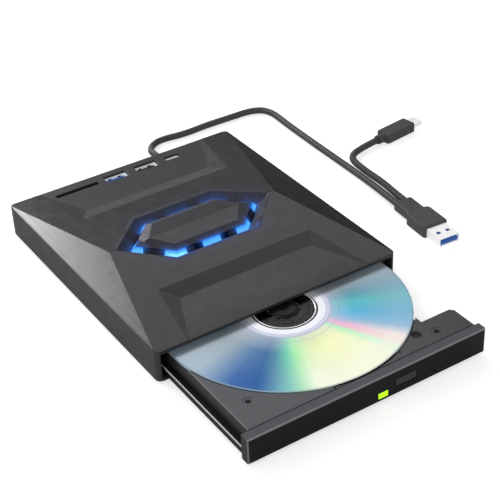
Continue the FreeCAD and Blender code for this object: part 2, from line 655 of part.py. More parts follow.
def light_pieces():
    """The island's cap with its skirt, and the clear light guide whose pads fill the skirt's windows."""
    groove, top = value("groove_level"), value("window_top")
    skirt, guide, run = value("skirt_wall"), value("guide_wall"), value("window_run")
    whole = island_form(0, 0)
    under = island_form(skirt + 0.4, value("cap_wall"))
    cellar = hexagon_block(-run - skirt - guide - value("fit_gap"), value("underside"), top - 0.2)
    band = frustum(hexagon(-value("fit_gap") - skirt, groove), hexagon(-value("fit_gap") - skirt - run, top))
    foot = hexagon_block(-value("fit_gap") - skirt, value("ledge_top") - 1, groove + 1e-4)
    inner = foot.fuse(band).removeSplitter()
    ring_space = inner.common(hexagon_block(2, value("ledge_top"), top - 0.2))
    prisms = window_prisms(groove, top - 0.15)
    windows = whole.cut(inner).cut(hexagon_block(-run - skirt - guide, groove - 2, top + 9)).common(prisms)
    windows = windows.common(hexagon_block(2, groove + 0.1, top - 0.15))
    cap = whole.cut(under.fuse(cellar)).cut(ring_space).cut(windows)
    ring = ring_space.cut(hexagon_block(-run - skirt - guide, value("underside"), top + 2))
    ring = ring.fuse(windows).removeSplitter()
    posts = [Part.makeCylinder(2.0, value("cap_wall") + 2.6,
                               Vector(x, value("case_middle") + y, led_board_top()))
             for x in (-15, 15) for y in (-6, 6)]
    cap = cap.fuse([post.common(whole) for post in posts]).removeSplitter()
    return made("island_cap", cap), made("light_ring", ring)


def led_board_top():
    """Upper face of the board under the island."""
    return value("ledge_top") + value("led_board_wall")


def led_pieces():
    """The board under the island and the eight lamps at its rim."""
    inset = -value("window_run") - value("skirt_wall") - value("guide_wall") - 0.6
    low, high = value("ledge_top"), led_board_top()
    board = made("led_board", hexagon_block(inset, low, high))
    corners = hexagon(inset - 1.4, high)
    places = list(corners)
    middle = value("case_middle")
    reach = value("ring_half_width") + inset - 1.4
    places += [Vector(0, middle + side * reach, high) for side in (-1, 1)]
    lamps = []
    for number, place in enumerate(places):
        lamp = made("ring_lamp_%d" % number, Part.makeBox(2.8, 1.2, 0.8, Vector(-1.4, -0.6, 0)))
        heading = math.degrees(math.atan2(place.y - middle, place.x)) - 90
        lamp.Placement = Placement(place, Rotation(Vector(0, 0, 1), heading))
        lamps.append(lamp)
    return board, group("ring_leds", *lamps)


# Hub board and sockets
def socket(name, place, length, width, tongue_wall, tongue_shift):
    """An upright socket: a sheet shell open at the top and an insulating tongue inside it."""
    wall = "port_shell"
    x = ("%s - %s / 2" % (place, length), "%s + %s / 2" % (place, length))
    y = ("ports_line - %s / 2" % width, "ports_line + %s / 2" % width)
    form = oval if name == "small_socket" else block
    outer = form(name + "_outer", x, y, ("hub_high", "ports_top"))
    inner = form(name + "_inner", (x[0] + " + " + wall, x[1] + " - " + wall),
                 (y[0] + " + " + wall, y[1] + " - " + wall), ("hub_high + 3", "ports_top + 1"))
    openings = []
    if form is block:
        for side in (-1, 1):
            middle = "%s + (%d) * port_window_place" % (place, side)
            openings.append(block("%s_window_%d" % (name, side + 1),
                                  (middle + " - port_window_half", middle + " + port_window_half"),
                                  (y[1] + " - 2 * " + wall, y[1] + " + " + wall),
                                  ("ports_top - port_window_low", "ports_top - port_window_high")))
    shell = cut(name + "_shell", outer, inner, *openings)
    tongue = block(name + "_tongue", ("%s - %s / 2 + 1.2" % (place, length),
                                      "%s + %s / 2 - 1.2" % (place, length)),
                   ("ports_line + %s - %s / 2" % (tongue_shift, tongue_wall),
                    "ports_line + %s + %s / 2" % (tongue_shift, tongue_wall)),
                   ("hub_high + 3", "ports_top - 1"))
    return shell, tongue


# Chips of the hub board: name, span across the case, distances from the case's rear, and height.
HUB_CHIPS = [
    ("bridge_chip", ("-36", "-27"), ("20.5", "11.5"), "1.2"),
    ("hub_chip", ("6", "12.5"), ("22", "15.5"), "1"),
    ("crystal", ("-22", "-18.5"), ("20", "14"), "1.4"),
    ("regulator", ("20", "24"), ("21", "17.5"), "1.6"),
]
CAPACITOR_FIRST, CAPACITOR_PITCH = -12, 2.6
for number in range(6):
    x = "%.1f" % (CAPACITOR_FIRST + number * CAPACITOR_PITCH)
    HUB_CHIPS.append(("capacitor_%d" % number, (x, x + " + 1.2"), ("17", "15"), "0.9"))


def hub_pieces():
    """The board behind the inner drive with its chips, sockets and edge connector."""
    board = block("hub_board", ("-hub_board_left", "hub_board_right"),
                  ("case_rear - hub_board_front", "case_rear - hub_board_rear"), ("hub_low", "hub_high"))
    chips = [block(name, span, ("case_rear - " + front, "case_rear - " + rear),
                   ("hub_high", "hub_high + " + rise))
             for name, span, (front, rear), rise in HUB_CHIPS]
    pads = group("board_chips", *chips)
    card_x = ("card_slot_place - card_slot_width / 2 - 1.5", "card_slot_place + card_slot_width / 2 + 1.5")
    card_outer = block("card_outer", card_x,
                       ("ports_line - card_slot_gap / 2 - 0.5", "ports_line + card_slot_gap / 2 + 0.5"),
                       ("hub_high", "wall_top - roof_wall - fit_gap"))
    card_inner = block("card_inner", ("card_slot_place - card_slot_width / 2 + 0.2",
                                      "card_slot_place + card_slot_width / 2 - 0.2"),
                       ("ports_line - card_slot_gap / 2 + 0.2", "ports_line + card_slot_gap / 2 - 0.2"),
                       ("hub_high + 1", "wall_top"))
    card = cut("card_socket", card_outer, card_inner)
    blue_shell, blue_tongue = socket("blue_socket", "blue_port_place", "port_length", "port_width", "1.8",
                                     "0.9")
    plain_shell, plain_tongue = socket("plain_socket", "plain_port_place", "port_length", "port_width", "1.8",
                                       "0.9")
    small_shell, small_tongue = socket("small_socket", "small_port_place", "small_port_length",
                                       "small_port_width", "0.7", "0")
    edge = block("edge_plug", ("-39", "-11"), ("pan_rear + fit_gap", "case_rear - hub_board_front + 4"),
                 ("hub_high", "hub_high + 4.6"))
    return [board, pads, card, blue_shell, blue_tongue, plain_shell, plain_tongue, small_shell, small_tongue,
            edge]


# Inner drive: pan, lid, guides and main board
def drive_pan():
    """The sheet pan that carries the whole mechanism, and its lid."""
    outer = block("pan_outer", ("-pan_half", "pan_half"), ("pan_front", "pan_rear"), ("pan_low", "pan_top"))
    inner = block("pan_inner", ("-bay_half", "bay_half"), ("pan_front - 1", "pan_rear - sheet_steel"),
                  ("pan_floor", "pan_top + 1"))
    window = block("pan_window", ("-38", "-12"), ("pan_rear - 2", "pan_rear + 2"),
                   ("pan_floor + 0.6", "pan_floor + 6"))
    holes = [rod("pan_hole_%d" % n, "screw_radius + fit_gap / 2", x, y, ("pan_low - 1", "pan_floor + 1"))
             for n, (x, y) in enumerate(DRIVE_SCREWS)]
    bumps = [rod("pan_bump_%d" % n, "1.6", x, y, ("pan_floor", "pan_floor + 0.6"))
             for n, (x, y) in enumerate(PAN_BUMPS)]
    pan = cut("pan_shell", outer, inner, window, *holes)
    lid_slab = block("lid_slab", ("-pan_half", "pan_half"), ("pan_front", "pan_rear"), ("pan_top", "lid_top"))
    return join("drive_pan", pan, *bumps), cut("drive_lid", lid_slab, block(
        "lid_notch", ("-30", "30"), ("pan_front - 1", "pan_front + 3"), ("pan_top - 1", "lid_top + 1")))


PAN_BUMPS = [("bay_half - 11.5", "mouth + 30"), ("bay_half - 3.5", "mouth + 95"),
             ("bay_half - 11.5", "mouth + 118"), ("-38", "mouth + 124")]


# Chips of the main board: name, gaps to its long leg's sides, distances from the mouth, and height.
DRIVE_CHIPS = [
    ("drive_chip", ("2.6", "1.8"), ("60", "69.5"), "1.2"),
    ("drive_memory", ("3", "3"), ("78", "86"), "0.9"),
    ("drive_driver", ("3", "3"), ("44", "52"), "1"),
]


def main_board():
    """The drive's own board: a long leg beside the tray and a short one across the rear."""
    level = ("pan_floor + 0.6", "pan_floor + 1.6")
    leg = block("board_leg", ("tray_reach + rail_width + 1.6", "bay_half - 1"),
                ("mouth + 26", "pan_rear - 1"), level)
    back = block("board_back", ("-42", "tray_reach + rail_width + 2"), ("pan_rear - 8.5", "pan_rear - 1"),
                 level)
    top = level[1]
    chips = [block(name, ("tray_reach + rail_width + " + left, "bay_half - " + right),
                   ("mouth + " + front, "mouth + " + rear), (top, top + " + " + rise))
             for name, (left, right), (front, rear), rise in DRIVE_CHIPS]
    connector = block("drive_connector", ("-37", "-13"), ("pan_rear - 6.5", "pan_rear - 0.1"),
                      (top, top + " + 3.6"))
    return join("main_board", leg, back), group("drive_chips", *chips), connector


def rails():
    """Left and right, from the outside in: tray rail, sliding rail and fixed guide."""
    pieces, guides = {}, []
    for name, side, edge in (("left", -1, "tray_edge"), ("right", 1, "tray_reach")):
        def span(near, far):
            pair = ("%s + %s" % (edge, near), "%s + %s" % (edge, far))
            return pair if side > 0 else ("-(%s)" % pair[1], "-(%s)" % pair[0])
        y = ("bezel_back" if side < 0 else "strip_rear", "tray_rear")
        outer = block("rail_form_" + name, span("0", "rail_width"), y, ("rail_low", "rail_top"))
        inner = block("rail_channel_" + name, span("-1", "rail_width - rail_wall"),
                      (y[0] + " - 1", y[1] + " + 1"),
                      ("rail_low - 1", "rail_top - rail_wall"))
        pieces["tray_rail_" + name] = cut("tray_rail_" + name, outer, inner)
        pieces["slide_rail_" + name] = block("slide_rail_" + name, span("-run_gap - slide_width", "-run_gap"),
                                             ("slide_front", "slide_front + slide_length"),
                                             ("slide_low", "slide_top"))
        guides.append(block("slide_guide_" + name,
                            span("-2 * run_gap - slide_width - guide_width", "-2 * run_gap - slide_width"),
                            ("pan_front + 1", "pan_rear - 12"), ("pan_floor", "slide_top - 0.2")))
    return list(pieces.values()) + [group("slide_guides", *guides)]


# Tray
# Round marks in the tray's strip: name, radius, place across, distance from the bezel's face, and depth.
STRIP_MARKS = [
    ("thumb_notch", "2.6", "37.1", "16.1", "2"),
    ("moulding_dot", "0.6", "23.4", "10.4", "1"),
    ("moulding_dot_left", "0.6", "-14.5", "7.6", "1"),
]


def tray_piece():
    """The tray: a full-width front strip and a narrower bed with the disc's round recess."""
    bed = block("tray_bed", ("-tray_edge", "tray_reach"), ("bezel_back", "tray_rear"),
                ("tray_low", "tray_top"))
    strip = block("tray_strip", ("-tray_edge", "strip_edge"), ("bezel_back", "strip_rear"),
                  ("tray_low", "tray_top"))
    tabs = [block("tray_tab_%d" % n, (x, x + " + 9"), ("bezel_face + bezel_wall + fit_gap", "bezel_back + 1"),
                  ("bezel_top - bezel_rim - 2", "bezel_top - bezel_rim - fit_gap"))
            for n, x in enumerate(("-52", "-20", "46"))]
    body = join("tray_body", bed, strip, *tabs)
    hollow_bed = block("tray_hollow", ("tray_wall - tray_edge", "tray_reach - tray_wall"),
                       ("bezel_back + tray_wall", "tray_rear - tray_wall"), ("tray_low - 1", "ceiling"))
    hollow_strip = block("strip_hollow", ("0", "strip_edge - tray_wall"),
                         ("bezel_back + tray_wall", "strip_rear - tray_wall"), ("tray_low - 1", "ceiling"))
    recess = rod("disc_recess", "disc_radius + recess_gap", "0", "disc_middle",
                 ("recess_floor", "tray_top + 1"))
    eye = rod("spindle_eye", "spindle_opening", "0", "disc_middle", ("ceiling - 1", "tray_top"))
    slot = slant_block("lens_slot", ("0", "lens_opening_reach"), ("-lens_opening / 2", "lens_opening / 2"),
                       ("ceiling - 1", "recess_floor + 0.5"))
    corner = doc.addObject("Part::Box", "strip_corner")
    corner.setExpression("Length", "6")
    corner.setExpression("Width", "6")
    corner.setExpression("Height", bind("tray_height"))
    corner.Placement = Placement(Vector(), Rotation(Vector(0, 0, 1), 45))
    corner.setExpression("Placement.Base.x", bind("strip_edge"))
    corner.setExpression("Placement.Base.y", bind("strip_rear - 1.8"))
    corner.setExpression("Placement.Base.z", bind("tray_low - 1"))
    marks = [rod(name, radius, x, "bezel_face + " + setback, ("tray_top - " + depth, "tray_top + 1"))
             for name, radius, x, setback, depth in STRIP_MARKS]
    cutters = [hollow_bed, hollow_strip, recess, eye, slot, corner] + marks
    bosses = []
    for name, (x, y) in fixing_holes().items():
        cutters.append(rod("fixing_%s" % name, "fixing_hole", x, y, ("ceiling - 1", "tray_top + 1")))
        cutters.append(rod("ring_%s" % name, "countersink", x, y, ("tray_top - 0.35", "tray_top + 1")))
    shell = cut("tray_shell", body, *cutters)
    for number, (along, across) in enumerate(TRAVERSE_FIXINGS):
        tube = slant_rod("tray_boss_%d" % number, "2.8", along, across, ("plate_top", "ceiling + 0.6"))
        pilot = slant_rod("tray_pilot_%d" % number, "screw_radius", along, across,
                          ("plate_top - 1", "ceiling + 0.5"))
        bosses.append(cut("tray_boss_tube_%d" % number, tube, pilot))
    pin = rod("latch_pivot", "1", LATCH_PIVOT[0], LATCH_PIVOT[1], ("underside + 2", "ceiling + 0.5"))
    return join("tray", shell, *bosses, pin)


LATCH_SETBACK = 14.5
LATCH_PIVOT = ("27", "bezel_face + %.1f" % LATCH_SETBACK)
TRAVERSE_FIXINGS = [("rods_end + 4.2", "-3"), ("-18", "-18"), ("-18", "18")]


def fixing_holes():
    """Round holes that show in the tray's top."""
    return {
        "left": ("left_hole_place", "bezel_face + left_hole_setback"),
        "right": ("right_hole_place", "bezel_face + right_hole_setback"),
    }


def tray_plate():
    """The thin sheet that closes the tray's underside behind the strip, and the traverse screws."""
    sheet = block("plate_sheet", ("0.2 - tray_edge", "tray_reach - 0.2"), ("strip_rear", "tray_rear - 0.2"),
                  ("tray_low - 0.3", "tray_low"))
    window = slant_block("plate_window", ("-10", "40"), ("-12", "12"), ("tray_low - 1", "tray_low + 1"))
    screws_below = []
    for number, (along, across) in enumerate(TRAVERSE_FIXINGS):
        head = slant_rod("traverse_head_%d" % number, "screw_head", along, across,
                         ("plate_low - 0.45", "plate_low"))
        shank = slant_rod("traverse_shank_%d" % number, "screw_radius - fit_gap", along, across,
                          ("plate_low - 0.1", "plate_top + 3"))
        screws_below.append(join("traverse_screw_%d" % number, head, shank))
    return cut("tray_under_plate", sheet, window), group("traverse_screws", *screws_below)


def bezel_pieces():
    """The bezel, its lamp, the eject button and the small board behind them."""
    slab = block("bezel_slab", ("-bezel_half", "bezel_half"), ("bezel_face", "bezel_back"),
                 ("bezel_foot", "bezel_top"))
    face = value("bezel_face")
    slab = soften("bezel_bevelled", slab, "bezel_bevel",
                  lambda edge: all(abs(vertex.Y - face) < 1e-6 for vertex in edge.Vertexes), bevel=True)
    pocket = block("bezel_pocket", ("bezel_rim - bezel_half", "bezel_half - bezel_rim"),
                   ("bezel_face + bezel_wall", "bezel_back + 1"),
                   ("bezel_foot + bezel_rim", "bezel_top - bezel_rim"))
    through = ("bezel_face - 1", "bezel_face + bezel_wall + 1")

    def span(place, length, gap):
        return ("%s - %s / 2 - (%s)" % (place, length, gap), "%s + %s / 2 + (%s)" % (place, length, gap))
    button_x = span("button_place", "button_length", "0")
    button_z = span("underside + button_level", "button_height", "0")
    hole_x = span("button_place", "button_length", "button_gap")
    hole_z = span("underside + button_level", "button_height", "button_gap")
    lamp_x = span("lamp_place", "lamp_length", "0")
    lamp_z = span("underside + lamp_level", "lamp_height", "0")
    bezel = cut("bezel", slab, pocket, block("button_hole", hole_x, through, hole_z),
                block("lamp_hole", lamp_x, through, lamp_z),
                rod("pinhole", "pinhole_radius", "pinhole_place", through, "underside + pinhole_level"))
    lamp = block("activity_lamp", lamp_x, ("bezel_face", "bezel_face + bezel_wall + 1"), lamp_z)
    button_face = block("button_face", button_x, ("bezel_face + 0.1", "bezel_face + bezel_wall + 0.1"),
                        button_z)
    flange = block("button_flange", (button_x[0] + " - 0.6", button_x[1] + " + 0.6"),
                   ("bezel_face + bezel_wall + 0.05", "bezel_face + bezel_wall + 0.45"),
                   (button_z[0] + " - 0.6", button_z[1] + " + 0.6"))
    button = join("eject_button", button_face, flange)
    board = block("board_slab", ("1", "26.5"), ("bezel_back - 0.9", "bezel_back - 0.1"),
                  ("bezel_foot + bezel_rim + 0.2", "underside + 11.5"))
    switch = block("tact_switch", ("button_place - 2", "button_place + 2"),
                   ("bezel_face + bezel_wall + 0.55 + button_travel", "bezel_back - 0.9"),
                   ("underside + button_level - 1.6", "underside + button_level + 1.6"))
    emitter = block("lamp_emitter", ("lamp_place - 1", "lamp_place + 1"),
                    ("bezel_face + bezel_wall + 1.1", "bezel_back - 0.9"),
                    ("underside + lamp_level - 0.8", "underside + lamp_level + 0.8"))
    front_board = group("front_board", join("front_board_parts", board, switch, emitter))
    return bezel, lamp, button, front_board


def latch_pieces():
    """The eject latch: a lever on the tray, its solenoid, and the pin on the pan that it hooks."""
    x, y = LATCH_PIVOT
    low, high = "underside + 2.2", "underside + 4.2"

    def beside(offset, start):
        return "%s + (%s)" % (start, offset)
    bar = block("latch_bar", (beside("-2.5", x), beside("9", x)), (beside("-1.5", y), beside("1.5", y)),
                (low, high))
    arm = block("latch_arm", (beside("6.2", x), beside("9", x)), (beside("1.4", y), beside("6", y)),
                (low, high))
    tip = block("latch_tip", (beside("3.8", x), beside("6.3", x)), (beside("4.8", y), beside("6", y)),
                (low, high))
    eye = rod("latch_eye", "1.05", x, y, ("underside + 1", "underside + 5"))
    hub = rod("latch_hub", "2.4", x, y, (low, high))
    lever = cut("latch_form", join("latch_solid", bar, arm, tip, hub), eye)
    doc.recompute()
    pivot = Vector(float(x), value("bezel_face") + LATCH_SETBACK, 0)
    turned = lever.Shape.copy()
    turned.rotate(pivot, Vector(0, 0, 1), -value("latch_swing"))
    lever = made("latch_lever", turned)
    coil = block("latch_solenoid", ("8", "20"), ("bezel_back + 3", "bezel_back + 12.5"),
                 ("ceiling - 4.2", "ceiling"))
    pin = rod("latch_pin", "latch_pin_radius", beside("4.2", x), y + " + 3.3 + tray_out",
              ("pan_floor", "pan_floor + 2.9"))
    return lever, coil, pin


# Traverse: spindle, pickup and lead screw
def traverse_pieces():
    """The traverse plate under the tray, with the rods and motors that it carries."""
    plate = slant_block("traverse_slab", ("-22", "rods_end + 8"), ("-traverse_half", "traverse_half + 0.5"),
                        ("plate_low", "plate_top"))
    limits = block("traverse_limits", ("tray_wall + 0.4 - tray_edge", "40"),
                   ("bezel_back + tray_wall + 0.4", "tray_rear - 3"), ("plate_low - 1", "plate_top + 1"))
    plate = overlap("traverse_clipped", plate, limits)
    slot = slant_block("sled_window", ("motor_radius + 1", "rods_end"),
                       ("-sled_half - 0.7", "sled_half + 0.7"), ("plate_low - 1", "plate_top + 1"))
    holes = [slant_rod("traverse_hole_%d" % n, "screw_radius + fit_gap", along, across,
                       ("plate_low - 1", "plate_top + 1"))
             for n, (along, across) in enumerate(TRAVERSE_FIXINGS)]
    plate = cut("traverse_open", plate, slot, *holes)
    far = "rods_end"
    inner_end = "motor_radius + 1"
    mounts = []
    for name, place in (("left", "-bar_place"), ("right", "bar_place")):
        across = (place + " - 1.8", place + " + 1.8")
        mounts.append(slant_block("rod_seat_%s_in" % name, (inner_end + " - 3", inner_end), across,
                                  ("plate_top", "underside + bar_level + bar_radius")))
        mounts.append(slant_block("rod_seat_%s_out" % name, (far, far + " + 2.5"), across,
                                  ("plate_top", "underside + bar_level + bar_radius")))
    mounts.append(slant_block("screw_seat", ("12.5", "14"), ("thread_place - 2", "thread_place + 2"),
                              ("plate_top", "underside + thread_level + thread_radius")))
    frame = join("traverse_frame", plate, *mounts)
    rods = [slant_rod("bar_" + name, "bar_radius", (inner_end, far), place, "underside + bar_level")
            for name, place in (("left", "-bar_place"), ("right", "bar_place"))]
    motor = rod("spindle_motor", "motor_radius", "0", "disc_middle", ("plate_top", "motor_top"))
    stepper = slant_block("stepper_motor", ("52.5", "61.5"), ("thread_place - 3.2", "thread_place + 3.2"),
                          ("plate_top", "ceiling - fit_gap"))
    thread = slant_rod("lead_screw", "thread_radius", ("14.1", "52.4"), "thread_place",
                       "underside + thread_level")
    return frame, group("guide_rods", *rods), motor, stepper, thread


def turntable_pieces():
    """The turntable with its rubber pad, the claws that hold the disc, and the disc."""
    shaft = rod("spindle_shaft", "1.5", "0", "disc_middle", ("motor_top + 0.05", "motor_top + 0.5"))
    platter = rod("platter", "turntable_radius", "0", "disc_middle",
                  ("motor_top + 0.3", "disc_low - pad_wall"))
    hub = rod("hub_barrel", "hub_radius", "0", "disc_middle", ("disc_low - pad_wall", "disc_top"))
    tip = rod("hub_cone", "hub_radius", "0", "disc_middle", ("disc_top", "hub_top"), tip="hub_tip_radius")
    dimple = rod("hub_dimple", "2.2", "0", "disc_middle", ("hub_top - 0.5", "hub_top + 1"))
    turntable = cut("turntable", join("turntable_solid", shaft, platter, hub, tip), dimple)
    pad = cut("turntable_pad", rod("pad_outer", "turntable_radius", "0", "disc_middle",
                                   ("disc_low - pad_wall", "disc_low")),
              rod("pad_inner", "hub_radius + 2.7", "0", "disc_middle", ("disc_low - 2", "disc_low + 1")))
    claws = []
    centre = Vector(0, value("disc_middle"), value("disc_top") + 0.03)
    reach = value("disc_hole") + 0.15
    for number in range(3):
        claw = Part.makeBox(1.4, 2.4, 0.35, Vector(reach - 1.4, -1.2, 0))
        claw = claw.cut(Part.makeCone(value("hub_radius"), value("hub_tip_radius"), value("hub_rise"),
                                      Vector(0, 0, -0.03)))
        claw = made("claw_%d" % number, claw)
        claw.Placement = Placement(centre, Rotation(Vector(0, 0, 1), 90 + 120 * number))
        claws.append(claw)
    return turntable, pad, group("hub_claws", *claws)


def disc_body():
    """The disc, padded from a sketch of two circles."""
    body = doc.addObject("PartDesign::Body", "disc")
    sketch = body.newObject("Sketcher::SketchObject", "disc_sketch")
    plane = [feature for feature in body.Origin.OriginFeatures if feature.Role == "XY_Plane"][0]
    sketch.AttachmentSupport = [(plane, "")]
    sketch.MapMode = "FlatFace"
    for number, radius in enumerate(("disc_radius", "disc_hole")):
        sketch.addGeometry(Part.Circle(Vector(), Vector(0, 0, 1), value(radius)), False)
        sketch.addConstraint(Sketcher.Constraint("Coincident", number, 3, -1, 1))
        index = sketch.addConstraint(Sketcher.Constraint("Radius", number, value(radius)))
        sketch.setExpression("Constraints[%d]" % index, bind(radius))
    pad = body.newObject("PartDesign::Pad", "disc_pad")
    pad.Profile = sketch
    pad.setExpression("Length", bind("disc_wall"))
    body.setExpression("Placement.Base.y", bind("disc_middle"))
    body.setExpression("Placement.Base.z", bind("disc_low"))
    return body


def pickup_pieces():
    """The sled on its rods, with the arm that rides on the lead screw, and the lens above it."""
    sled = slant_block("sled_block", ("lens_place - sled_inner", "lens_place + sled_outer"),
                       ("-sled_half", "sled_half"),
                       ("underside + sled_low", "underside + sled_high"))
    arm = slant_block("sled_arm", ("lens_place - sled_inner", "lens_place - sled_inner + 4"),
                      ("sled_half - 1", "thread_place + thread_radius + 1"),
                      ("plate_top + run_gap", "underside + thread_level + 1.6"))
    bite = slant_rod("sled_bite", "turntable_radius + 2", "lens_travel", "0",
                     ("underside + sled_low - 1", "underside + sled_high + 1"))
    bores = [slant_rod("sled_bore_" + name, "bar_radius + fit_gap / 2",
                       ("lens_place - 20", "lens_place + 20"), place, "underside + bar_level")
             for name, place in (("left", "-bar_place"), ("right", "bar_place"))]
    nut = slant_rod("sled_nut", "thread_radius + fit_gap / 2", ("lens_place - 20", "lens_place + 20"),
                    "thread_place", "underside + thread_level")
    well = slant_block("sled_well", ("lens_place - 4.5", "lens_place + 4.5"), ("-5.5", "5.5"),
                       ("underside + sled_high - 1.2", "underside + sled_high + 1"))
    body = cut("pickup_sled", join("sled_solid", sled, arm), bite, *bores, nut, well)
    holder = slant_block("lens_holder", ("lens_place - 5.2", "lens_place + 4.6"), ("-6.5", "6.5"),
                         ("underside + sled_high + 0.35", "underside + sled_high + 1.3"))
    lens = slant_rod("objective_lens", "lens_radius", "lens_place", "0",
                     ("underside + sled_high + 1.3", "underside + sled_high + 1.7"))
    return body, holder, lens


# Cables and plugs
# Each route lists the corners that the cable bends round, on the desk behind and beside the case.
PLUG_HEADING = -94.0
SMALL_PLUG_HEADING = 7.5
PLUG_NECK = (113.2, 8.0)
SMALL_PLUG_NECK = (145.6, 71.9)


def heading_point(start, heading, along, across, z):
    """A point beside a start, along a heading and to its left."""
    turn = math.radians(heading)
    forward, left = (math.cos(turn), math.sin(turn)), (-math.sin(turn), math.cos(turn))
    return Vector(start[0] + along * forward[0] + across * left[0],
                  start[1] + along * forward[1] + across * left[1], z)


def host_route():
    """The host cable: out of the strain relief, down to the desk, round behind the case and beside it."""
    desk = value("cord_level")
    plug = value("plug_level")
    exit_point = Vector(value("boot_place"), value("case_rear") + value("boot_length"),
                        value("underside") + value("boot_level"))
    spacing = -value("cord_spacing") / 2
    return [
        exit_point,
        exit_point + Vector(0, 7.4, 0),
        Vector(32.6, 139.4, 3.6),
        Vector(37.2, 147.2, desk),
        Vector(45.4, 150.8, desk),
        Vector(60.0, 148.2, desk),
        Vector(76.0, 149.4, desk),
        Vector(92.0, 149.0, desk),
        Vector(109.6, 148.7, desk),
        Vector(117.2, 141.3, desk),
        Vector(115.8, 121.0, desk),
        Vector(115.0, 92.0, desk),
        Vector(114.6, 62.0, desk),
        Vector(113.6, 37.0, desk + 0.5),
        heading_point(PLUG_NECK, PLUG_HEADING, -10.5, spacing, plug),
        heading_point(PLUG_NECK, PLUG_HEADING, 0, spacing, plug),
    ]


def branch_route():
    """The short branch: back out of the large plug's neck, beside the host cable, to the small plug."""
    desk = value("cord_level")
    plug, small = value("plug_level"), value("small_plug_level")
    spacing = value("cord_spacing") / 2
    return [
        heading_point(PLUG_NECK, PLUG_HEADING, 0, spacing, plug),
        heading_point(PLUG_NECK, PLUG_HEADING, -10.5, spacing, plug),
        Vector(119.4, 33.0, desk + 0.4),
        Vector(119.8, 50.0, desk),
        Vector(121.2, 66.8, desk + 0.4),
        heading_point(SMALL_PLUG_NECK, SMALL_PLUG_HEADING, -10.9, 0, small),
        heading_point(SMALL_PLUG_NECK, SMALL_PLUG_HEADING, 0, 0, small),
    ]


def cord(label, points):
    """A tube of straight runs joined by tangent arcs, each as large as its two runs allow."""
    edges, radii = [], []
    start = points[0]
    for before, corner, after in zip(points, points[1:], points[2:]):
        back, ahead = (before - corner), (after - corner)
        shorter = min(back.Length, ahead.Length)
        turn = math.pi - back.getAngle(ahead)
        trim = 0.45 * shorter
        radii.append(trim / math.tan(turn / 2))
        back.normalize()
        ahead.normalize()
        arc_start, arc_end = corner + back * trim, corner + ahead * trim
        bisector = back + ahead
        bisector.normalize()
        radius = radii[-1]
        middle = corner + bisector * (math.hypot(trim, radius) - radius)
        edges.append(Part.LineSegment(start, arc_start).toShape())
        edges.append(Part.Arc(arc_start, middle, arc_end).toShape())
        start = arc_end
    edges.append(Part.LineSegment(start, points[-1]).toShape())
    wire = Part.Wire(edges)
    radius = value("cord_radius")
    first = points[1] - points[0]
    ring = Part.Wire(Part.makeCircle(radius, points[0], first))
    tube = wire.makePipeShell([ring], True, False)
    expected = math.pi * radius ** 2 * wire.Length
    print("%s: length %.1f, radii %s" % (label, wire.Length, ", ".join("%.1f" % bend for bend in radii)))
    print("%s: volume %.1f, section times length %.1f" % (label, tube.Volume, expected))
    return made(label, tube)


def boot_piece():
    """The tapered strain relief, held in the rear wall by a collar inside."""
    level = "underside + boot_level"
    collar = rod("boot_collar", "boot_radius + 0.8", "boot_place",
                 ("inner_rear - fit_gap - 1.4", "inner_rear - fit_gap"), level)
    neck = rod("boot_neck", "boot_radius - fit_gap", "boot_place", ("inner_rear - 0.2", "case_rear + 1"),
               level)
    taper = rod("boot_taper", "boot_radius - fit_gap", "boot_place",
                ("case_rear + 0.9", "case_rear + boot_length"), level, tip="boot_tip")
    grooves = []
    for number in range(4):
        place = "case_rear + 2.6 + %d * 2.3" % number
        ring = rod("boot_ring_%d" % number, "boot_radius + 1", "boot_place", (place, place + " + 0.8"), level)
        core = rod("boot_core_%d" % number, "boot_tip - 0.1", "boot_place", (place, place + " + 0.8"), level)
        grooves.append(cut("boot_groove_%d" % number, ring, core))
    return cut("cable_boot", join("boot_solid", collar, neck, taper), *grooves)


def placed(label, shape, start, heading, z):
    """Stand a plug's solid, made along +X from its neck, at its place on the desk."""
    feature = made(label, shape)
    feature.Placement = Placement(Vector(start[0], start[1], z), Rotation(Vector(0, 0, 1), heading))
    return feature


def slab(start, length, width, height):
    """A box along +X, centred across and in height."""
    return Part.makeBox(length, width, height, Vector(start, -width / 2, -height / 2))


def rounded_slab(start, length, width, height, radius):
    """The same box with its long edges rounded."""
    form = slab(start, length, width, height)
    edges = [edge for edge in form.Edges if abs(edge.Vertexes[0].X - edge.Vertexes[-1].X) > length / 2]
    return form.makeFillet(radius, edges)


def grip(start, length, width, height, shoulder):
    """A plug's grip: its rear and front corners rounded as seen from above, then its rims."""
    form = slab(start, length, width, height)
    for end, radius in ((start, shoulder), (start + length, value("plug_nose"))):
        corners = [edge for edge in form.Edges if upright(edge) and abs(edge.Vertexes[0].X - end) < 1e-6]
        form = form.makeFillet(radius, corners)
    level = height / 2
    rims = [edge for edge in form.Edges if all(abs(abs(vertex.Z) - level) < 1e-6 for vertex in edge.Vertexes)]
    return form.makeFillet(value("plug_rim"), rims)


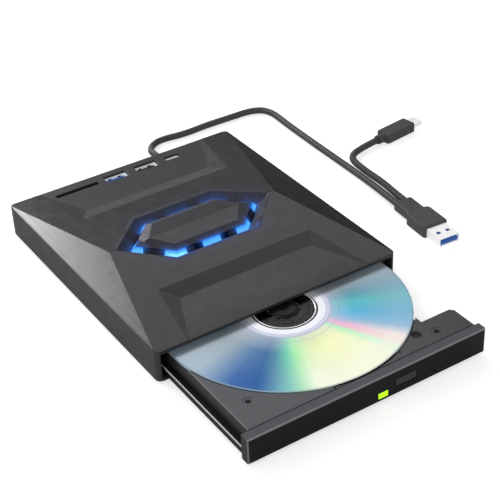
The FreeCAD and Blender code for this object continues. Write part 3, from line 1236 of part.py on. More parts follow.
def plug_pieces():
    """The large plug with its shell and tongue, and the small oval plug with its tip."""
    neck, length = value("neck_length"), value("plug_length")
    body = grip(neck, length, value("plug_width"), value("plug_wall"), value("plug_shoulder"))
    throat = rounded_slab(0, neck + value("plug_shoulder"), value("neck_width"), value("neck_wall"), 1.6)
    body = body.fuse(throat).removeSplitter()
    front = neck + length
    width, height, reach = value("shell_width"), value("shell_height"), value("shell_length")
    shell = slab(front, reach, width, height).cut(slab(front + 1, reach, width - 0.7, height - 0.7))
    for side in (-1, 1):
        window = Part.makeBox(2.2, 2.4, 1, Vector(front + 5.0, side * 2.9 - 1.2, height / 2 - 0.7))
        shell = shell.cut(window)
    tongue = Part.makeBox(reach - 1.6, width - 1, 1.9, Vector(front + 1, 0.5 - width / 2, 0.45 - height / 2))
    level = value("plug_level")
    large = [placed("usb_plug_body", body, PLUG_NECK, PLUG_HEADING, level),
             placed("usb_plug_shell", shell, PLUG_NECK, PLUG_HEADING, level),
             placed("usb_plug_tongue", tongue, PLUG_NECK, PLUG_HEADING, level)]
    small_neck, small_length = value("small_neck_length"), value("small_plug_length")
    small = grip(small_neck, small_length, value("small_plug_width"), value("small_plug_wall"),
                 value("small_plug_shoulder"))
    collar = Part.makeCylinder(value("small_neck_radius"), small_neck + 0.5, Vector(), Vector(1, 0, 0))
    small = small.fuse(collar).removeSplitter()
    tip_front = small_neck + small_length
    tip_height = value("small_tip_height")
    tip = rounded_slab(tip_front, value("small_tip_length"), value("small_tip_width"), tip_height,
                       tip_height * 0.49)
    tip = tip.cut(rounded_slab(tip_front + 1, value("small_tip_length"), value("small_tip_width") - 0.7,
                               tip_height - 0.7, tip_height * 0.3))
    small_level = value("small_plug_level")
    return large + [placed("small_plug_body", small, SMALL_PLUG_NECK, SMALL_PLUG_HEADING, small_level),
                    placed("small_plug_tip", tip, SMALL_PLUG_NECK, SMALL_PLUG_HEADING, small_level)]


def flex_cable():
    """The flat ribbon on the pan's floor, from the main board to its fold under the tray."""
    run = block("flex_run", ("-20", "-4"), ("pan_front + 1.2", "pan_rear - 8"),
                ("pan_floor + 0.05", "pan_floor + 0.25"))
    rise = block("flex_rise", ("-20", "-4"), ("pan_rear - 8.4", "pan_rear - 8"),
                 ("pan_floor + 0.05", "pan_floor + 0.6"))
    return join("flex_cable", run, rise)


# Assembly
parts = [case_shell(), base_plate(), feet(), boot_piece(), flex_cable()]
parts += screws()
parts += light_pieces()
parts += led_pieces()
parts += hub_pieces()
parts += drive_pan()
parts += main_board()
parts += rails()
parts += [tray_piece(), disc_body()]
parts += tray_plate()
parts += bezel_pieces()
parts += latch_pieces()
parts += traverse_pieces()
parts += turntable_pieces()
parts += pickup_pieces()
parts += [cord("host_cable", host_route()), cord("branch_cable", branch_route())]
parts += plug_pieces()
doc.recompute()

failed = [item.Label for item in doc.Objects if {"Invalid", "Error"} & set(item.State)]
if failed:
    raise RuntimeError("these did not build: " + ", ".join(failed))
for part in parts:
    if part.Shape.isNull() or not part.Shape.isValid() or not part.Shape.Solids:
        raise RuntimeError("no valid solid in " + part.Label)

os.makedirs("parts", exist_ok=True)
for part in parts:
    part.Shape.exportStep(os.path.join("parts", part.Label + ".step"))
print("wrote %d parts" % len(parts))
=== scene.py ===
# %% [markdown]
# # An external disc drive on a desk
#
# The object is a slim disc drive with its tray part of the way out and a disc on the spindle. Its case is
# one faceted lid of dark satin plastic, with a six-sided ring of blue light in the roof, a trough at the
# front and one at the rear, and four sockets that open upwards. A short cable leaves the rear wall and
# ends in two plugs.
#
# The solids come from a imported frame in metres, and every piece made here stays in that frame. Most of
# them are finished copies of a solid: its loose triangles are merged, its flat faces cleaned and its edges
# rounded, because a moulded part shows itself by the thin highlight along its edges.

# %% Loading the frame
import json
import math
import bmesh
import bpy
from mathutils import Matrix, Vector

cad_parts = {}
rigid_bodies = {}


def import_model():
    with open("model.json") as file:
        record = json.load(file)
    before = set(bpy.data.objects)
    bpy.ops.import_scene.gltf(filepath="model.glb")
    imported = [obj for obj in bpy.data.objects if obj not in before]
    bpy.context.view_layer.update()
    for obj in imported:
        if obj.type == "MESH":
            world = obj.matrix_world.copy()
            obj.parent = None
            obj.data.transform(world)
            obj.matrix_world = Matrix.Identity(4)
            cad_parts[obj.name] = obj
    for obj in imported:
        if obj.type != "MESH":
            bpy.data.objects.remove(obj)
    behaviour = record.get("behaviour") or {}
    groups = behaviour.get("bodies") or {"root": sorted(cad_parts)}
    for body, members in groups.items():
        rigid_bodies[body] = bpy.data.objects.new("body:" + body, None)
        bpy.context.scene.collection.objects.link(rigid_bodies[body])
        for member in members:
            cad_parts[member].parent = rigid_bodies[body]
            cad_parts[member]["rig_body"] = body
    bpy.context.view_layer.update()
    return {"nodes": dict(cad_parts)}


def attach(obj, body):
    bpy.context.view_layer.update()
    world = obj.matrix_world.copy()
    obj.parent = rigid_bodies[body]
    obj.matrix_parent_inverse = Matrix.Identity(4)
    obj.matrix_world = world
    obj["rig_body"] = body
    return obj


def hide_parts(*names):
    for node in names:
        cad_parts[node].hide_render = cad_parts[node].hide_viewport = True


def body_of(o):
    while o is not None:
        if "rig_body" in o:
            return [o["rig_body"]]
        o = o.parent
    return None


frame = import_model()
scene = bpy.context.scene
nodes = frame["nodes"]
MM = 0.001

# %% [markdown]
# ## The camera
#
# The view is from the front left and above, with a long lens. Its place and turn were found by matching
# the case's corners, the bezel's ends and the disc's rim with the picture.

# %% The camera
EYE = Vector((-0.27137, -0.45551, 0.37864))
HEADING, DIP, ROLL = (math.radians(angle) for angle in (-31.764, 33.877, -2.649))
SENSOR = 36.0
FOCAL_PIXELS, FRAME_PIXELS = 1314.1, 500

camera = bpy.data.objects.new("camera", bpy.data.cameras.new("camera"))
scene.collection.objects.link(camera)
turned = Matrix.Rotation(HEADING, 4, "Z") @ Matrix.Rotation(math.pi / 2 - DIP, 4, "X")
camera.matrix_world = Matrix.Translation(EYE) @ turned @ Matrix.Rotation(ROLL, 4, "Z")
camera.data.sensor_width = SENSOR
camera.data.lens = FOCAL_PIXELS / FRAME_PIXELS * SENSOR
camera.data.clip_start = 0.01
scene.camera = camera
print("lens:", round(camera.data.lens, 1), "mm")

# %% [markdown]
# ## The cables
#
# Both cables are round rubber leads 3.8 mm thick. The host cable leaves the strain relief, drops to the
# desk, turns right behind the case and runs forward beside it into the large plug's neck. The branch
# leaves the same neck, runs back, and turns right into the small plug. Each is one smooth spline whose
# control points are its corners.

# %% Routes of the cables
CORD_RADIUS = 1.9 * MM
DESK = 2.0
LARGE_NECK, LARGE_HEADING, LARGE_LEVEL = (113.2, 8.0), math.radians(-94.0), 3.5
SMALL_NECK, SMALL_HEADING, SMALL_LEVEL = (145.6, 71.9), math.radians(7.5), 3.0
NECK_OFFSET = 2.6


def beside(start, heading, along, across, z):
    """A point at a distance along a heading and to its left, in millimetres."""
    x = start[0] + along * math.cos(heading) - across * math.sin(heading)
    y = start[1] + along * math.sin(heading) + across * math.cos(heading)
    return x, y, z


HOST_RUN = [(37.2, 147.2), (45.4, 150.8), (60.0, 148.2), (76.0, 149.4), (92.0, 149.0),
            (109.6, 148.7), (117.2, 141.3), (115.8, 121.0), (115.0, 92.0), (114.6, 62.0)]
HOST_ROUTE = [
    (30.0, 124.0, 6.8),
    (30.0, 131.4, 6.8),
    (32.6, 139.4, 3.6),
    *((x, y, DESK) for x, y in HOST_RUN),
    (113.6, 37.0, DESK + 0.5),
    beside(LARGE_NECK, LARGE_HEADING, -10.5, -NECK_OFFSET, LARGE_LEVEL),
    beside(LARGE_NECK, LARGE_HEADING, 0, -NECK_OFFSET, LARGE_LEVEL),
]
BRANCH_ROUTE = [
    beside(LARGE_NECK, LARGE_HEADING, 0, NECK_OFFSET, LARGE_LEVEL),
    beside(LARGE_NECK, LARGE_HEADING, -10.5, NECK_OFFSET, LARGE_LEVEL),
    (119.4, 33.0, DESK + 0.4),
    (119.8, 50.0, DESK),
    (121.2, 66.8, DESK + 0.4),
    beside(SMALL_NECK, SMALL_HEADING, -10.9, 0, SMALL_LEVEL),
    beside(SMALL_NECK, SMALL_HEADING, 0, 0, SMALL_LEVEL),
]


def laid_cord(name, route):
    """A cable along one NURBS spline."""
    line = bpy.data.curves.new(name, "CURVE")
    line.dimensions = "3D"
    line.bevel_depth = CORD_RADIUS
    line.bevel_resolution = 5
    line.resolution_u = 14
    spline = line.splines.new("NURBS")
    spline.points.add(len(route) - 1)
    for point, place in zip(spline.points, route):
        point.co = (*(MM * x for x in place), 1)
    spline.order_u = 3
    spline.use_endpoint_u = True
    cable = bpy.data.objects.new(name, line)
    scene.collection.objects.link(cable)
    return cable


host_cord = laid_cord("host_lead", HOST_ROUTE)
branch_cord = laid_cord("branch_lead", BRANCH_ROUTE)
print("cables:", len(HOST_ROUTE), "and", len(BRANCH_ROUTE), "points")

# %% [markdown]
# ## A small kit for materials
#
# Each finish is a node tree that reads the piece's own coordinates, so it stays put when the piece moves.
# Colours are written as they look on a screen and turned into linear light here.

# %% The material kit
def tone(code, factor=1.0):
    """Linear colour from a screen colour such as 3a3a3c, made darker or lighter by a factor."""
    channels = [int(code[n:n + 2], 16) / 255 for n in (0, 2, 4)]
    linear = [c / 12.92 if c <= 0.04045 else ((c + 0.055) / 1.055) ** 2.4 for c in channels]
    return tuple(factor * c for c in linear) + (1.0,)


USUAL = (0.3, 0.7)


class Finish:
    """A material with a Principled shader and short ways to add the nodes that drive it."""

    def __init__(self, name, **sockets):
        self.material = bpy.data.materials.new(name)
        self.material.use_nodes = True
        self.tree = self.material.node_tree
        self.tree.nodes.clear()
        self.shader = self.tree.nodes.new("ShaderNodeBsdfPrincipled")
        out = self.tree.nodes.new("ShaderNodeOutputMaterial")
        self.tree.links.new(self.shader.outputs[0], out.inputs[0])
        for socket, number in sockets.items():
            self.shader.inputs[socket.replace("_", " ")].default_value = number
        coordinates = self.tree.nodes.new("ShaderNodeTexCoord")
        self.place, self.uv = coordinates.outputs["Object"], coordinates.outputs["UV"]

    def add(self, kind, *values, out=0, **settings):
        """A node: values fill its inputs in order, and None leaves one alone."""
        node = self.tree.nodes.new("ShaderNode" + kind)
        for name, setting in settings.items():
            setattr(node, name, setting)
        for socket, given in zip(node.inputs, values):
            self.put(socket, given)
        return node.outputs[out]

    def put(self, socket, given):
        """Link a socket, or set its number or its screen colour."""
        if isinstance(given, bpy.types.NodeSocket):
            self.tree.links.new(given, socket)
        elif given is not None:
            socket.default_value = tone(given) if isinstance(given, str) else given

    def sum(self, operation, *values):
        return self.add("Math", *values, operation=operation)

    def times(self, first, second):
        return self.sum("MULTIPLY", first, second)

    def vector(self, operation, *values, out=0):
        return self.add("VectorMath", *values, operation=operation, out=out)

    def stretched(self, x, y, z):
        """The piece's coordinates, scaled along each axis."""
        return self.vector("MULTIPLY", self.place, (x, y, z))

    def noise(self, scale, detail=2.0, rough=0.5, where=None):
        return self.add("TexNoise", where or self.place, None, scale, detail, rough)

    def remap(self, given, low, high, to_low=0.0, to_high=1.0, kind="LINEAR"):
        return self.add("MapRange", given, low, high, to_low, to_high, interpolation_type=kind)

    def blend(self, amount, first, second, kind="MIX"):
        node = self.tree.nodes.new("ShaderNodeMix")
        node.data_type = "RGBA"
        node.blend_type = kind
        for number, given in zip((0, 6, 7), (amount, first, second)):
            self.put(node.inputs[number], given)
        return node.outputs[2]

    def mottle(self, given, first, second, low=USUAL[0], high=USUAL[1], most=1.0):
        """One colour, with as much of a second over it as a noise gives between two levels."""
        return self.blend(self.remap(given, low, high, 0.0, most), first, second)

    def ramp(self, given, stops):
        """A colour that runs through stops, each a place and a screen colour."""
        node = self.tree.nodes.new("ShaderNodeValToRGB")
        self.put(node.inputs[0], given)
        band = node.color_ramp.elements
        while len(band) < len(stops):
            band.new(0.5)
        for element, (place, code) in zip(band, stops):
            element.position = place
            element.color = tone(code)
        return node.outputs[0]

    def relief(self, height, distance, strength=1.0):
        """A bump of a real height in millimetres."""
        node = self.tree.nodes.new("ShaderNodeBump")
        node.inputs["Strength"].default_value = strength
        node.inputs["Distance"].default_value = distance * MM
        self.put(node.inputs["Height"], height)
        return node.outputs[0]

    def parts(self, place=None):
        """The x, y and z of a place in millimetres, as three sockets."""
        node = self.tree.nodes.new("ShaderNodeSeparateXYZ")
        self.put(node.inputs[0], self.vector("MULTIPLY", place or self.place, (1 / MM, 1 / MM, 1 / MM)))
        return node.outputs

    def band(self, given, low, high, soft):
        """One between two values and zero outside, with soft ends."""
        rise = self.remap(given, low - soft, low + soft)
        return self.times(rise, self.remap(given, high - soft, high + soft, 1.0, 0.0))

    def tint(self, amount, code):
        """Lay a colour over the one that the shader has now."""
        socket = self.shader.inputs["Base Color"]
        self.put(socket, self.blend(amount, socket.links[0].from_socket, code))

    def roughen(self, change):
        """Add to the roughness that the shader has now."""
        socket = self.shader.inputs["Roughness"]
        self.put(socket, self.sum("ADD", socket.links[0].from_socket, change))

    def wear(self, **sockets):
        """Drive the shader's sockets, and hand over the material."""
        for socket, given in sockets.items():
            self.put(self.shader.inputs[socket.replace("_", " ")], given)
        return self.material


print("material kit ready")

# %% [markdown]
# ## Moulded plastic
#
# The case, bezel, tray and plugs are injection moulded. Spark erosion leaves the mould with a fine even
# grain, which turns a gloss into a satin sheen. The colour wanders a little over a hand's width, handling
# leaves faint duller smears, and a few hairline scuffs catch the light. One recipe makes them all from a
# colour, a roughness and a grain.

# %% The recipe for moulded plastic
SCUFF = "8a8a8c"


def moulded(name, colour, rough, grain=0.004, gloss=0.5, wander=0.10, scuff=0.05):
    """Grained plastic. The grain's height is in millimetres."""
    skin = Finish(name, Specular_IOR_Level=gloss)
    broad = skin.noise(28.0, 3.0)
    patch = skin.noise(140.0, 4.0, 0.6)
    fine = skin.noise(3200.0, 1.0, 0.5)
    hair = skin.noise(60.0, 5.0, 0.7, skin.stretched(1.0, 14.0, 9.0))
    base = skin.mottle(broad, tone(colour, 1 - wander), tone(colour, 1 + wander), 0.35, 0.65)
    base = skin.mottle(hair, base, SCUFF, 0.66, 0.74, scuff)
    sheen = skin.remap(patch, *USUAL, rough - 0.04, rough + 0.05)
    skin.wear(Base_Color=base, Roughness=sheen, Normal=skin.relief(fine, grain))
    return skin


PLASTICS = {
    "base_plastic": ("303032", 0.55, 0.012, 0.4),
    "plug_plastic": ("454547", 0.50, 0.004, 0.4),
    "tray_plastic": ("57575b", 0.46, 0.005, 0.45),
    "bezel_plastic": ("101012", 0.34, 0.003, 0.14, 0.10, 0.01),
    "button_plastic": ("343436", 0.42, 0.004, 0.35),
    "rail_plastic": ("141416", 0.48, 0.003, 0.14, 0.10, 0.0),
    "hub_plastic": ("131315", 0.34, 0.004, 0.22),
    "holder_plastic": ("1c1c20", 0.45, 0.008, 0.4),
    "dark_insulator": ("1a1a1c", 0.5, 0.006, 0.4),
    "blue_insulator": ("1f5fb4", 0.42, 0.006, 0.5),
    "pad_rubber": ("161618", 0.6, 0.002, 0.3, 0.10, 0.0),
    "boot_rubber": ("323234", 0.52, 0.01, 0.4),
}
faces = {slot: moulded(slot.replace("_", " "), *recipe) for slot, recipe in PLASTICS.items()}
finishes = {slot: face.material for slot, face in faces.items()}
print("moulded finishes:", len(finishes))

# %% [markdown]
# ## Edges that catch the light
#
# The bezel's flat top and its bevelled rim face the sky and show as lighter strips, and so do the tray's
# outer edge and the long corner of each rail. A bevel alone would mirror the studio too weakly there, so
# each strip is found from its coordinates and given a painted highlight. Painted shade darkens the tray's
# left side and its right half, and a dark seam of painted shade on the tray stands for the shadowed gap
# behind the bezel.

# %% Edges that catch the light
# where the painted highlights on the bezel, tray and rails and the painted shade of the tray's seam fall
BEZEL_FLAT, BEZEL_RIM, BEZEL_END = 15.5, 127.0, 175.6
TRAY_LEFT, TRAY_RIM, TRAY_SEAM_SHADE = -59.5, 73.8, -104.95
RAIL_CORNER = 69.3


def paint_edge_highlights_and_shade():
    """Painted highlights on the bezel's top and rims, the tray's left edge and the rails, and painted shade
    on the tray.
    """
    face = faces["bezel_plastic"]
    x, y, z = face.parts()
    rim = face.sum("SUBTRACT", z, y)
    end = face.sum("SUBTRACT", face.sum("ABSOLUTE", x), y)
    # painted highlights: the bezel's flat top, its front rim and its ends lighter
    face.tint(face.remap(z, BEZEL_FLAT, BEZEL_FLAT + 0.1), "56565a")
    face.tint(face.remap(rim, BEZEL_RIM, BEZEL_RIM + 0.12, 0.0, 0.8), "8e8e92")
    face.tint(face.remap(end, BEZEL_END, BEZEL_END + 0.1, 0.0, 0.6), "88888c")
    face = faces["tray_plastic"]
    x, y, z = face.parts()
    rim = face.sum("SUBTRACT", z, x)
    # painted shade on the tray's left side, and a painted highlight along its top left edge
    face.tint(face.remap(x, TRAY_LEFT, TRAY_LEFT + 0.1, 0.9, 0.0), "1e1e21")
    face.tint(face.remap(rim, TRAY_RIM, TRAY_RIM + 0.1, 0.0, 0.9), "b4b4b8")
    # painted shade: the tray darker towards the right, and nearly black in the painted shadow of the gap
    # behind the bezel
    face.tint(face.remap(x, -30.0, 60.0, 0.0, 0.62), "2c2c30")
    face.tint(face.remap(y, TRAY_SEAM_SHADE - 0.15, TRAY_SEAM_SHADE, 0.96, 0.0), "050507")
    face = faces["rail_plastic"]
    x, y, z = face.parts()
    corner = face.sum("ADD", face.sum("ABSOLUTE", x), z)
    # painted highlight along the outer corner of each rail
    face.tint(face.remap(corner, RAIL_CORNER, RAIL_CORNER + 0.1, 0.0, 0.95), "dcdce0")


paint_edge_highlights_and_shade()
print("edges lit")

# %% [markdown]
# ## Blue light on its surroundings
#
# Light from the ring's eight windows spills over the island's skirt and the groove round it. Lamps would
# give it too, but with much noise, so it is painted as a faint glow of the surface itself. It fades within a
# millimetre or two, so it follows from the distance to the nearest window: the ring's four quarters are
# alike, so a place is folded into one of them and compared with four short lines.

# %% Distance to the nearest window of the ring
RING_MIDDLE = (0.0, 34.5)
WINDOW_LINES = [
    ((0.0, 17.3), (4.6, 17.3)),
    ((15.2, 17.3), (21.0, 17.3)),
    ((21.0, 17.3), (25.0, 13.1)),
    ((33.5, 4.2), (37.5, 0.0)),
]
NEAR_REACH, FAR_REACH = 0.85, 3.2


def window_distance(skin):
    """Millimetres from the surface, seen from above, to the nearest window."""
    centred = skin.vector("SUBTRACT", skin.place, (RING_MIDDLE[0] * MM, RING_MIDDLE[1] * MM, 0.0))
    folded = skin.vector("ABSOLUTE", centred)
    flat = skin.vector("MULTIPLY", folded, (1 / MM, 1 / MM, 0.0))
    nearest = None
    for start, end in WINDOW_LINES:
        length = math.dist(start, end)
        heading = ((end[0] - start[0]) / length, (end[1] - start[1]) / length, 0.0)
        arm = skin.vector("SUBTRACT", flat, (*start, 0.0))
        along = skin.vector("DOT_PRODUCT", arm, heading, out=1)
        along = skin.sum("MINIMUM", skin.sum("MAXIMUM", along, 0.0), length)
        foot = skin.add("VectorMath", heading, None, None, along, operation="SCALE")
        away = skin.vector("LENGTH", skin.vector("SUBTRACT", arm, foot), out=1)
        nearest = away if nearest is None else skin.sum("MINIMUM", nearest, away)
    return nearest


def fading(skin, away, strength, reach):
    """A strength that falls to a third over each reach."""
    return skin.times(skin.sum("EXPONENT", skin.sum("DIVIDE", away, -reach)), strength)


def paint_window_glow(skin, inset, glow, spill):
    """Painted spilled light: a glow that fades within a millimetre and a weak one that reaches over the roof.
    """
    plain = window_distance(skin)
    away = skin.sum("MAXIMUM", skin.sum("SUBTRACT", plain, inset), 0.0)
    light = skin.sum("ADD", fading(skin, away, glow, NEAR_REACH), fading(skin, away, spill, FAR_REACH))
    near = skin.remap(away, 0.0, 4.0)
    # painted light: the plastic itself glows blue near the windows
    skin.put(skin.shader.inputs["Emission Color"], skin.blend(near, "2484ff", "5b78e8"))
    skin.put(skin.shader.inputs["Emission Strength"], light)
    return plain


print("window lines:", len(WINDOW_LINES))

# %% [markdown]
# ## The case's own finish
#
# The roof is satin plastic, and the side walls are duller. The two end facets carry polishing lines that
# run front to back: the gloss changes from line to line, so that a bright window mirrored in a facet
# breaks up into soft bands and fine streaks. On the left facet the bands are made pale by a painted
# reflection of that window, which grows towards its outer edge and the rear, and the right facet is
# darkened by painted shade. The island's sloping band between two windows is almost black, so that the
# windows stand apart.

# %% Case plastic with lined end facets
CASE_COLOUR = "242426"
FACET_EDGE, FACET_LEAN = 48.5, 0.2452
LEFT_OF, RIGHT_OF = -40.0, 40.0
EAVES, SIDE_DULL = 18.0, 0.28
WELL_FRONT, WELL_TOP, WELL_RUN = 17.5, 21.15, 4.1
WELL_DULL, DULL_FROM, DULL_TO = 0.42, 4.3, 7.5


def case_finish():
    """Satin case plastic, lined on its end facets, with painted reflection and shade on them and the ring's
    light painted as a glow.
    """
    skin = moulded("case plastic", CASE_COLOUR, 0.25, 0.002, 0.5, 0.05, 0.0)
    x, y, z = skin.parts()
    lean = skin.times(skin.sum("ABSOLUTE", skin.sum("SUBTRACT", y, RING_MIDDLE[1])), FACET_LEAN)
    inside = skin.sum("SUBTRACT", skin.sum("SUBTRACT", skin.sum("ABSOLUTE", x), FACET_EDGE), lean)
    roof = skin.remap(z, EAVES - 0.1, EAVES + 0.1)
    facet = skin.times(skin.remap(inside, 0.1, 0.5), roof)
    lines = skin.noise(1.0, 2.0, 0.5, skin.stretched(1300.0, 3.0, 0.0))
    bands = skin.noise(1.0, 1.0, 0.5, skin.stretched(620.0, 0.8, 0.0))
    fine = skin.remap(lines, *USUAL, -0.02, 0.02)
    streak = skin.sum("ADD", skin.remap(bands, 0.32, 0.68, 0.06, -0.08), fine)
    # painted shade: the right facet darker
    skin.tint(skin.times(facet, skin.remap(x, LEFT_OF, RIGHT_OF, 0.0, 0.9)), "060608")
    # painted reflection: the polishing bands on the left facet tinted pale
    pale = skin.times(facet, skin.remap(x, LEFT_OF, RIGHT_OF, 1.0, 0.0))
    skin.tint(skin.times(skin.remap(bands, 0.36, 0.64, 0.0, 0.60), pale), "787a7a")
    # painted reflection: the left facet lighter towards its outer edge and towards the rear
    outer = skin.times(skin.remap(x, -65.0, -51.0, 0.5, 0.0), skin.remap(y, -40.0, 30.0, 0.15, 1.0))
    skin.tint(skin.times(outer, facet), "848686")
    side = skin.remap(z, EAVES - 0.4, EAVES, SIDE_DULL, 0.0)
    front = skin.remap(y, WELL_FRONT - 2.0, WELL_FRONT, 1.0, 0.0)
    over = skin.times(skin.remap(z, WELL_TOP - 0.5, WELL_TOP, 0.0, WELL_RUN), front)
    # painted glow of the ring's spilled light on the roof and groove
    away = paint_window_glow(skin, over, 0.30, 0.10)
    matt = skin.remap(away, DULL_FROM, DULL_TO, WELL_DULL, 0.0, "SMOOTHSTEP")
    skin.roughen(skin.sum("ADD", skin.sum("ADD", side, matt), skin.times(streak, facet)))
    return skin.material

# %% The island's plastic
BAND_LOW, BAND_HIGH, BAND_RUN = 17.5, 20.5, 2.0
END_FROM, END_DULL, BAND_DULL = 29.0, 0.52, 0.4


def island_finish():
    """The island: satin above, dull at its ends, nearly black on the band between its windows."""
    skin = moulded("island plastic", CASE_COLOUR, 0.27, 0.002, 0.5, 0.05, 0.0)
    x, y, z = skin.parts()
    under = skin.remap(z, BAND_HIGH - 0.1, BAND_HIGH + 0.1, 1.0, 0.0)
    skin.tint(under, "030305")
    ends = skin.remap(skin.sum("ABSOLUTE", x), END_FROM, END_FROM + 2.0, 0.0, END_DULL)
    skin.roughen(skin.sum("MAXIMUM", skin.times(under, BAND_DULL), ends))
    # painted glow of the ring's spilled light on the island's band
    paint_window_glow(skin, skin.remap(z, BAND_LOW, BAND_HIGH, 0.1, BAND_RUN + 0.1), 0.34, 0.05)
    return skin.material


finishes["case_plastic"] = case_finish()
finishes["island_plastic"] = island_finish()
print("case finishes:", finishes["case_plastic"].name, finishes["island_plastic"].name)

# %% [markdown]
# ## Rubber, metal, board and the rest
#
# The feet are matt rubber and the leads a softer one with a faint weave. Sheet steel is zinc plated with
# rolling lines, shells are bright nickel, boards are green lacquer over copper. Inner finishes are simple
# but real, because they show from below, through the mouth, or when the tray moves. A satin plating is
# less than wholly metallic, and a faint glow of its own is a painted reflection of the bright room that it
# would mirror.

# %% Rubber and cable finishes
DUST = "5c5a57"


def rubber(name, colour, rough):
    """Matt rubber with a dusty bloom."""
    skin = Finish(name, Specular_IOR_Level=0.35, Sheen_Weight=0.15, Sheen_Roughness=0.6)
    dust = skin.noise(220.0, 5.0, 0.65)
    base = skin.mottle(dust, colour, DUST, 0.45, 0.75, 0.35)
    sheen = skin.remap(dust, *USUAL, rough - 0.05, rough + 0.1)
    bump = skin.relief(skin.noise(1800.0, 3.0), 0.02)
    return skin.wear(Base_Color=base, Roughness=sheen, Normal=bump)


def lead_rubber(name):
    """Cable jacket: fine slanting ridges that follow the lead."""
    skin = Finish(name, Specular_IOR_Level=0.45)
    turned = skin.add("Mapping", skin.uv, None, None, (230.0, 9.0, 1.0))
    weave = skin.add("TexWave", turned, 1.0, 0.6, 2.0, 1.0, bands_direction="DIAGONAL", out=1)
    cloud = skin.noise(320.0, 3.0)
    base = skin.mottle(cloud, "39393b", "4b4b4d")
    base = skin.mottle(weave, base, "2c2c2e", 0.0, 1.0, 0.35)
    sheen = skin.remap(cloud, *USUAL, 0.42, 0.56)
    return skin.wear(Base_Color=base, Roughness=sheen, Normal=skin.relief(weave, 0.06, 0.7))


finishes["foot_rubber"] = rubber("foot rubber", "1c1c1e", 0.82)
finishes["cord_rubber"] = lead_rubber("cord rubber")
print("rubber finishes ready")

# %% Metal finishes
def metal(name, colour, rough, lines=(900.0, 12.0, 900.0), relief=0.004, stain=0.12, metallic=1.0, gleam=0.0):
    """Worked metal with lines along one axis and faint staining, and a painted reflection as a glow as strong
    as gleam.
    """
    skin = Finish(name, Metallic=metallic)
    drawn = skin.noise(1.0, 3.0, 0.6, skin.stretched(*lines))
    cloud = skin.noise(90.0, 4.0, 0.6)
    base = skin.mottle(cloud, colour, tone(colour, 1 - 2.5 * stain), 0.35, 0.7)
    stains = skin.remap(cloud, 0.4, 0.7, 0.0, 0.08)
    sheen = skin.sum("ADD", skin.remap(drawn, *USUAL, rough - 0.05, rough + 0.06), stains)
    # painted reflection: the metal glows faintly in its own colour
    skin.shader.inputs["Emission Color"].default_value = tone(colour)
    skin.shader.inputs["Emission Strength"].default_value = gleam
    return skin.wear(Base_Color=base, Roughness=sheen, Normal=skin.relief(drawn, relief))


# the last number of each shell's recipe is the strength of its painted reflection glow
METALS = {
    "plated_shell": ("fafaf8", 0.28, (500.0,) * 3, 0.001, 0.005, 0.7, 0.22),
    "socket_plate": ("dadce0", 0.40, (500.0,) * 3, 0.001, 0.04, 0.6, 0.40),
    "sheet_steel": ("a9abad", 0.34),
    "rail_steel": ("b8babd", 0.26),
    "motor_shell": ("9fa2a6", 0.30, (400.0, 400.0, 900.0)),
    "sled_metal": ("8c8e92", 0.42, (300.0,) * 3, 0.01, 0.15),
    "screw_steel": ("8f9194", 0.35, (700.0,) * 3, 0.003, 0.15),
    "contact_gold": ("e2bd62", 0.24, (600.0,) * 3, 0.001, 0.06),
}
for slot, recipe in METALS.items():
    finishes[slot] = metal(slot.replace("_", " "), *recipe)
print("metal finishes ready")

# %% Board, ribbon and lens finishes
BRICKS = (260.0, 0.12, 0.3, 0.0, 0.9, 0.35)


def lacquered_board(name):
    """Green solder mask with copper tracks under it."""
    skin = Finish(name, Specular_IOR_Level=0.5)
    tracks = skin.add("TexBrick", skin.place, "1d6b3f", "17583a", "0f4a2c", *BRICKS)
    cloud = skin.noise(150.0, 3.0)
    base = skin.mottle(cloud, tracks, "12482e", most=0.5)
    height = skin.add("TexBrick", skin.place, "ffffff", "ffffff", "000000", *BRICKS)
    sheen = skin.remap(cloud, *USUAL, 0.28, 0.4)
    return skin.wear(Base_Color=base, Roughness=sheen, Normal=skin.relief(height, 0.02))


def striped_ribbon(name):
    """Flat ribbon: clear film over side by side tracks."""
    skin = Finish(name, Specular_IOR_Level=0.5)
    stripes = skin.add("TexWave", skin.place, 320.0, 0.0, bands_direction="X", out=1)
    base = skin.mottle(stripes, "c9c3b4", "a58b52", 0.4, 0.6)
    sheen = skin.remap(skin.noise(200.0, 3.0), *USUAL, 0.25, 0.4)
    return skin.wear(Base_Color=base, Roughness=sheen, Normal=skin.relief(stripes, 0.03))


def lens_glass(name):
    """Coated glass with a violet sheen."""
    skin = Finish(name, Specular_IOR_Level=0.8, Coat_Weight=1.0, Coat_Roughness=0.03)
    ring = skin.noise(700.0, 1.0)
    base = skin.mottle(ring, "2a1d55", "33508c")
    return skin.wear(Base_Color=base, Roughness=skin.remap(ring, *USUAL, 0.04, 0.09))


finishes["board"] = lacquered_board("board")
finishes["ribbon"] = striped_ribbon("ribbon")
finishes["lens_glass"] = lens_glass("lens glass")
print("board, ribbon and lens finishes ready")

# %% [markdown]
# ## Things that glow
#
# The light guide's pads, the lamps behind them and the green activity lamp send out light of their own.
# Each pad is brightest near its lower edge, close to its lamp, and those by the left corner are a pale
# cyan. The pads' strength is one, which keeps the colour as written.

# %% Glowing finishes
PAD_LOW, PAD_HIGH = 17.6, 20.3
PAD_CORNER = (-21.0, RING_MIDDLE[1] - 17.3)
PAD_BLUE = [(0.0, "56a8fa"), (0.55, "50a0f6"), (0.8, "3a88ee"), (1.0, "2468d4")]
PAD_CYAN = [(0.0, "98ecff"), (0.4, "84deff"), (0.65, "4aa4fa"), (1.0, "2468d4")]


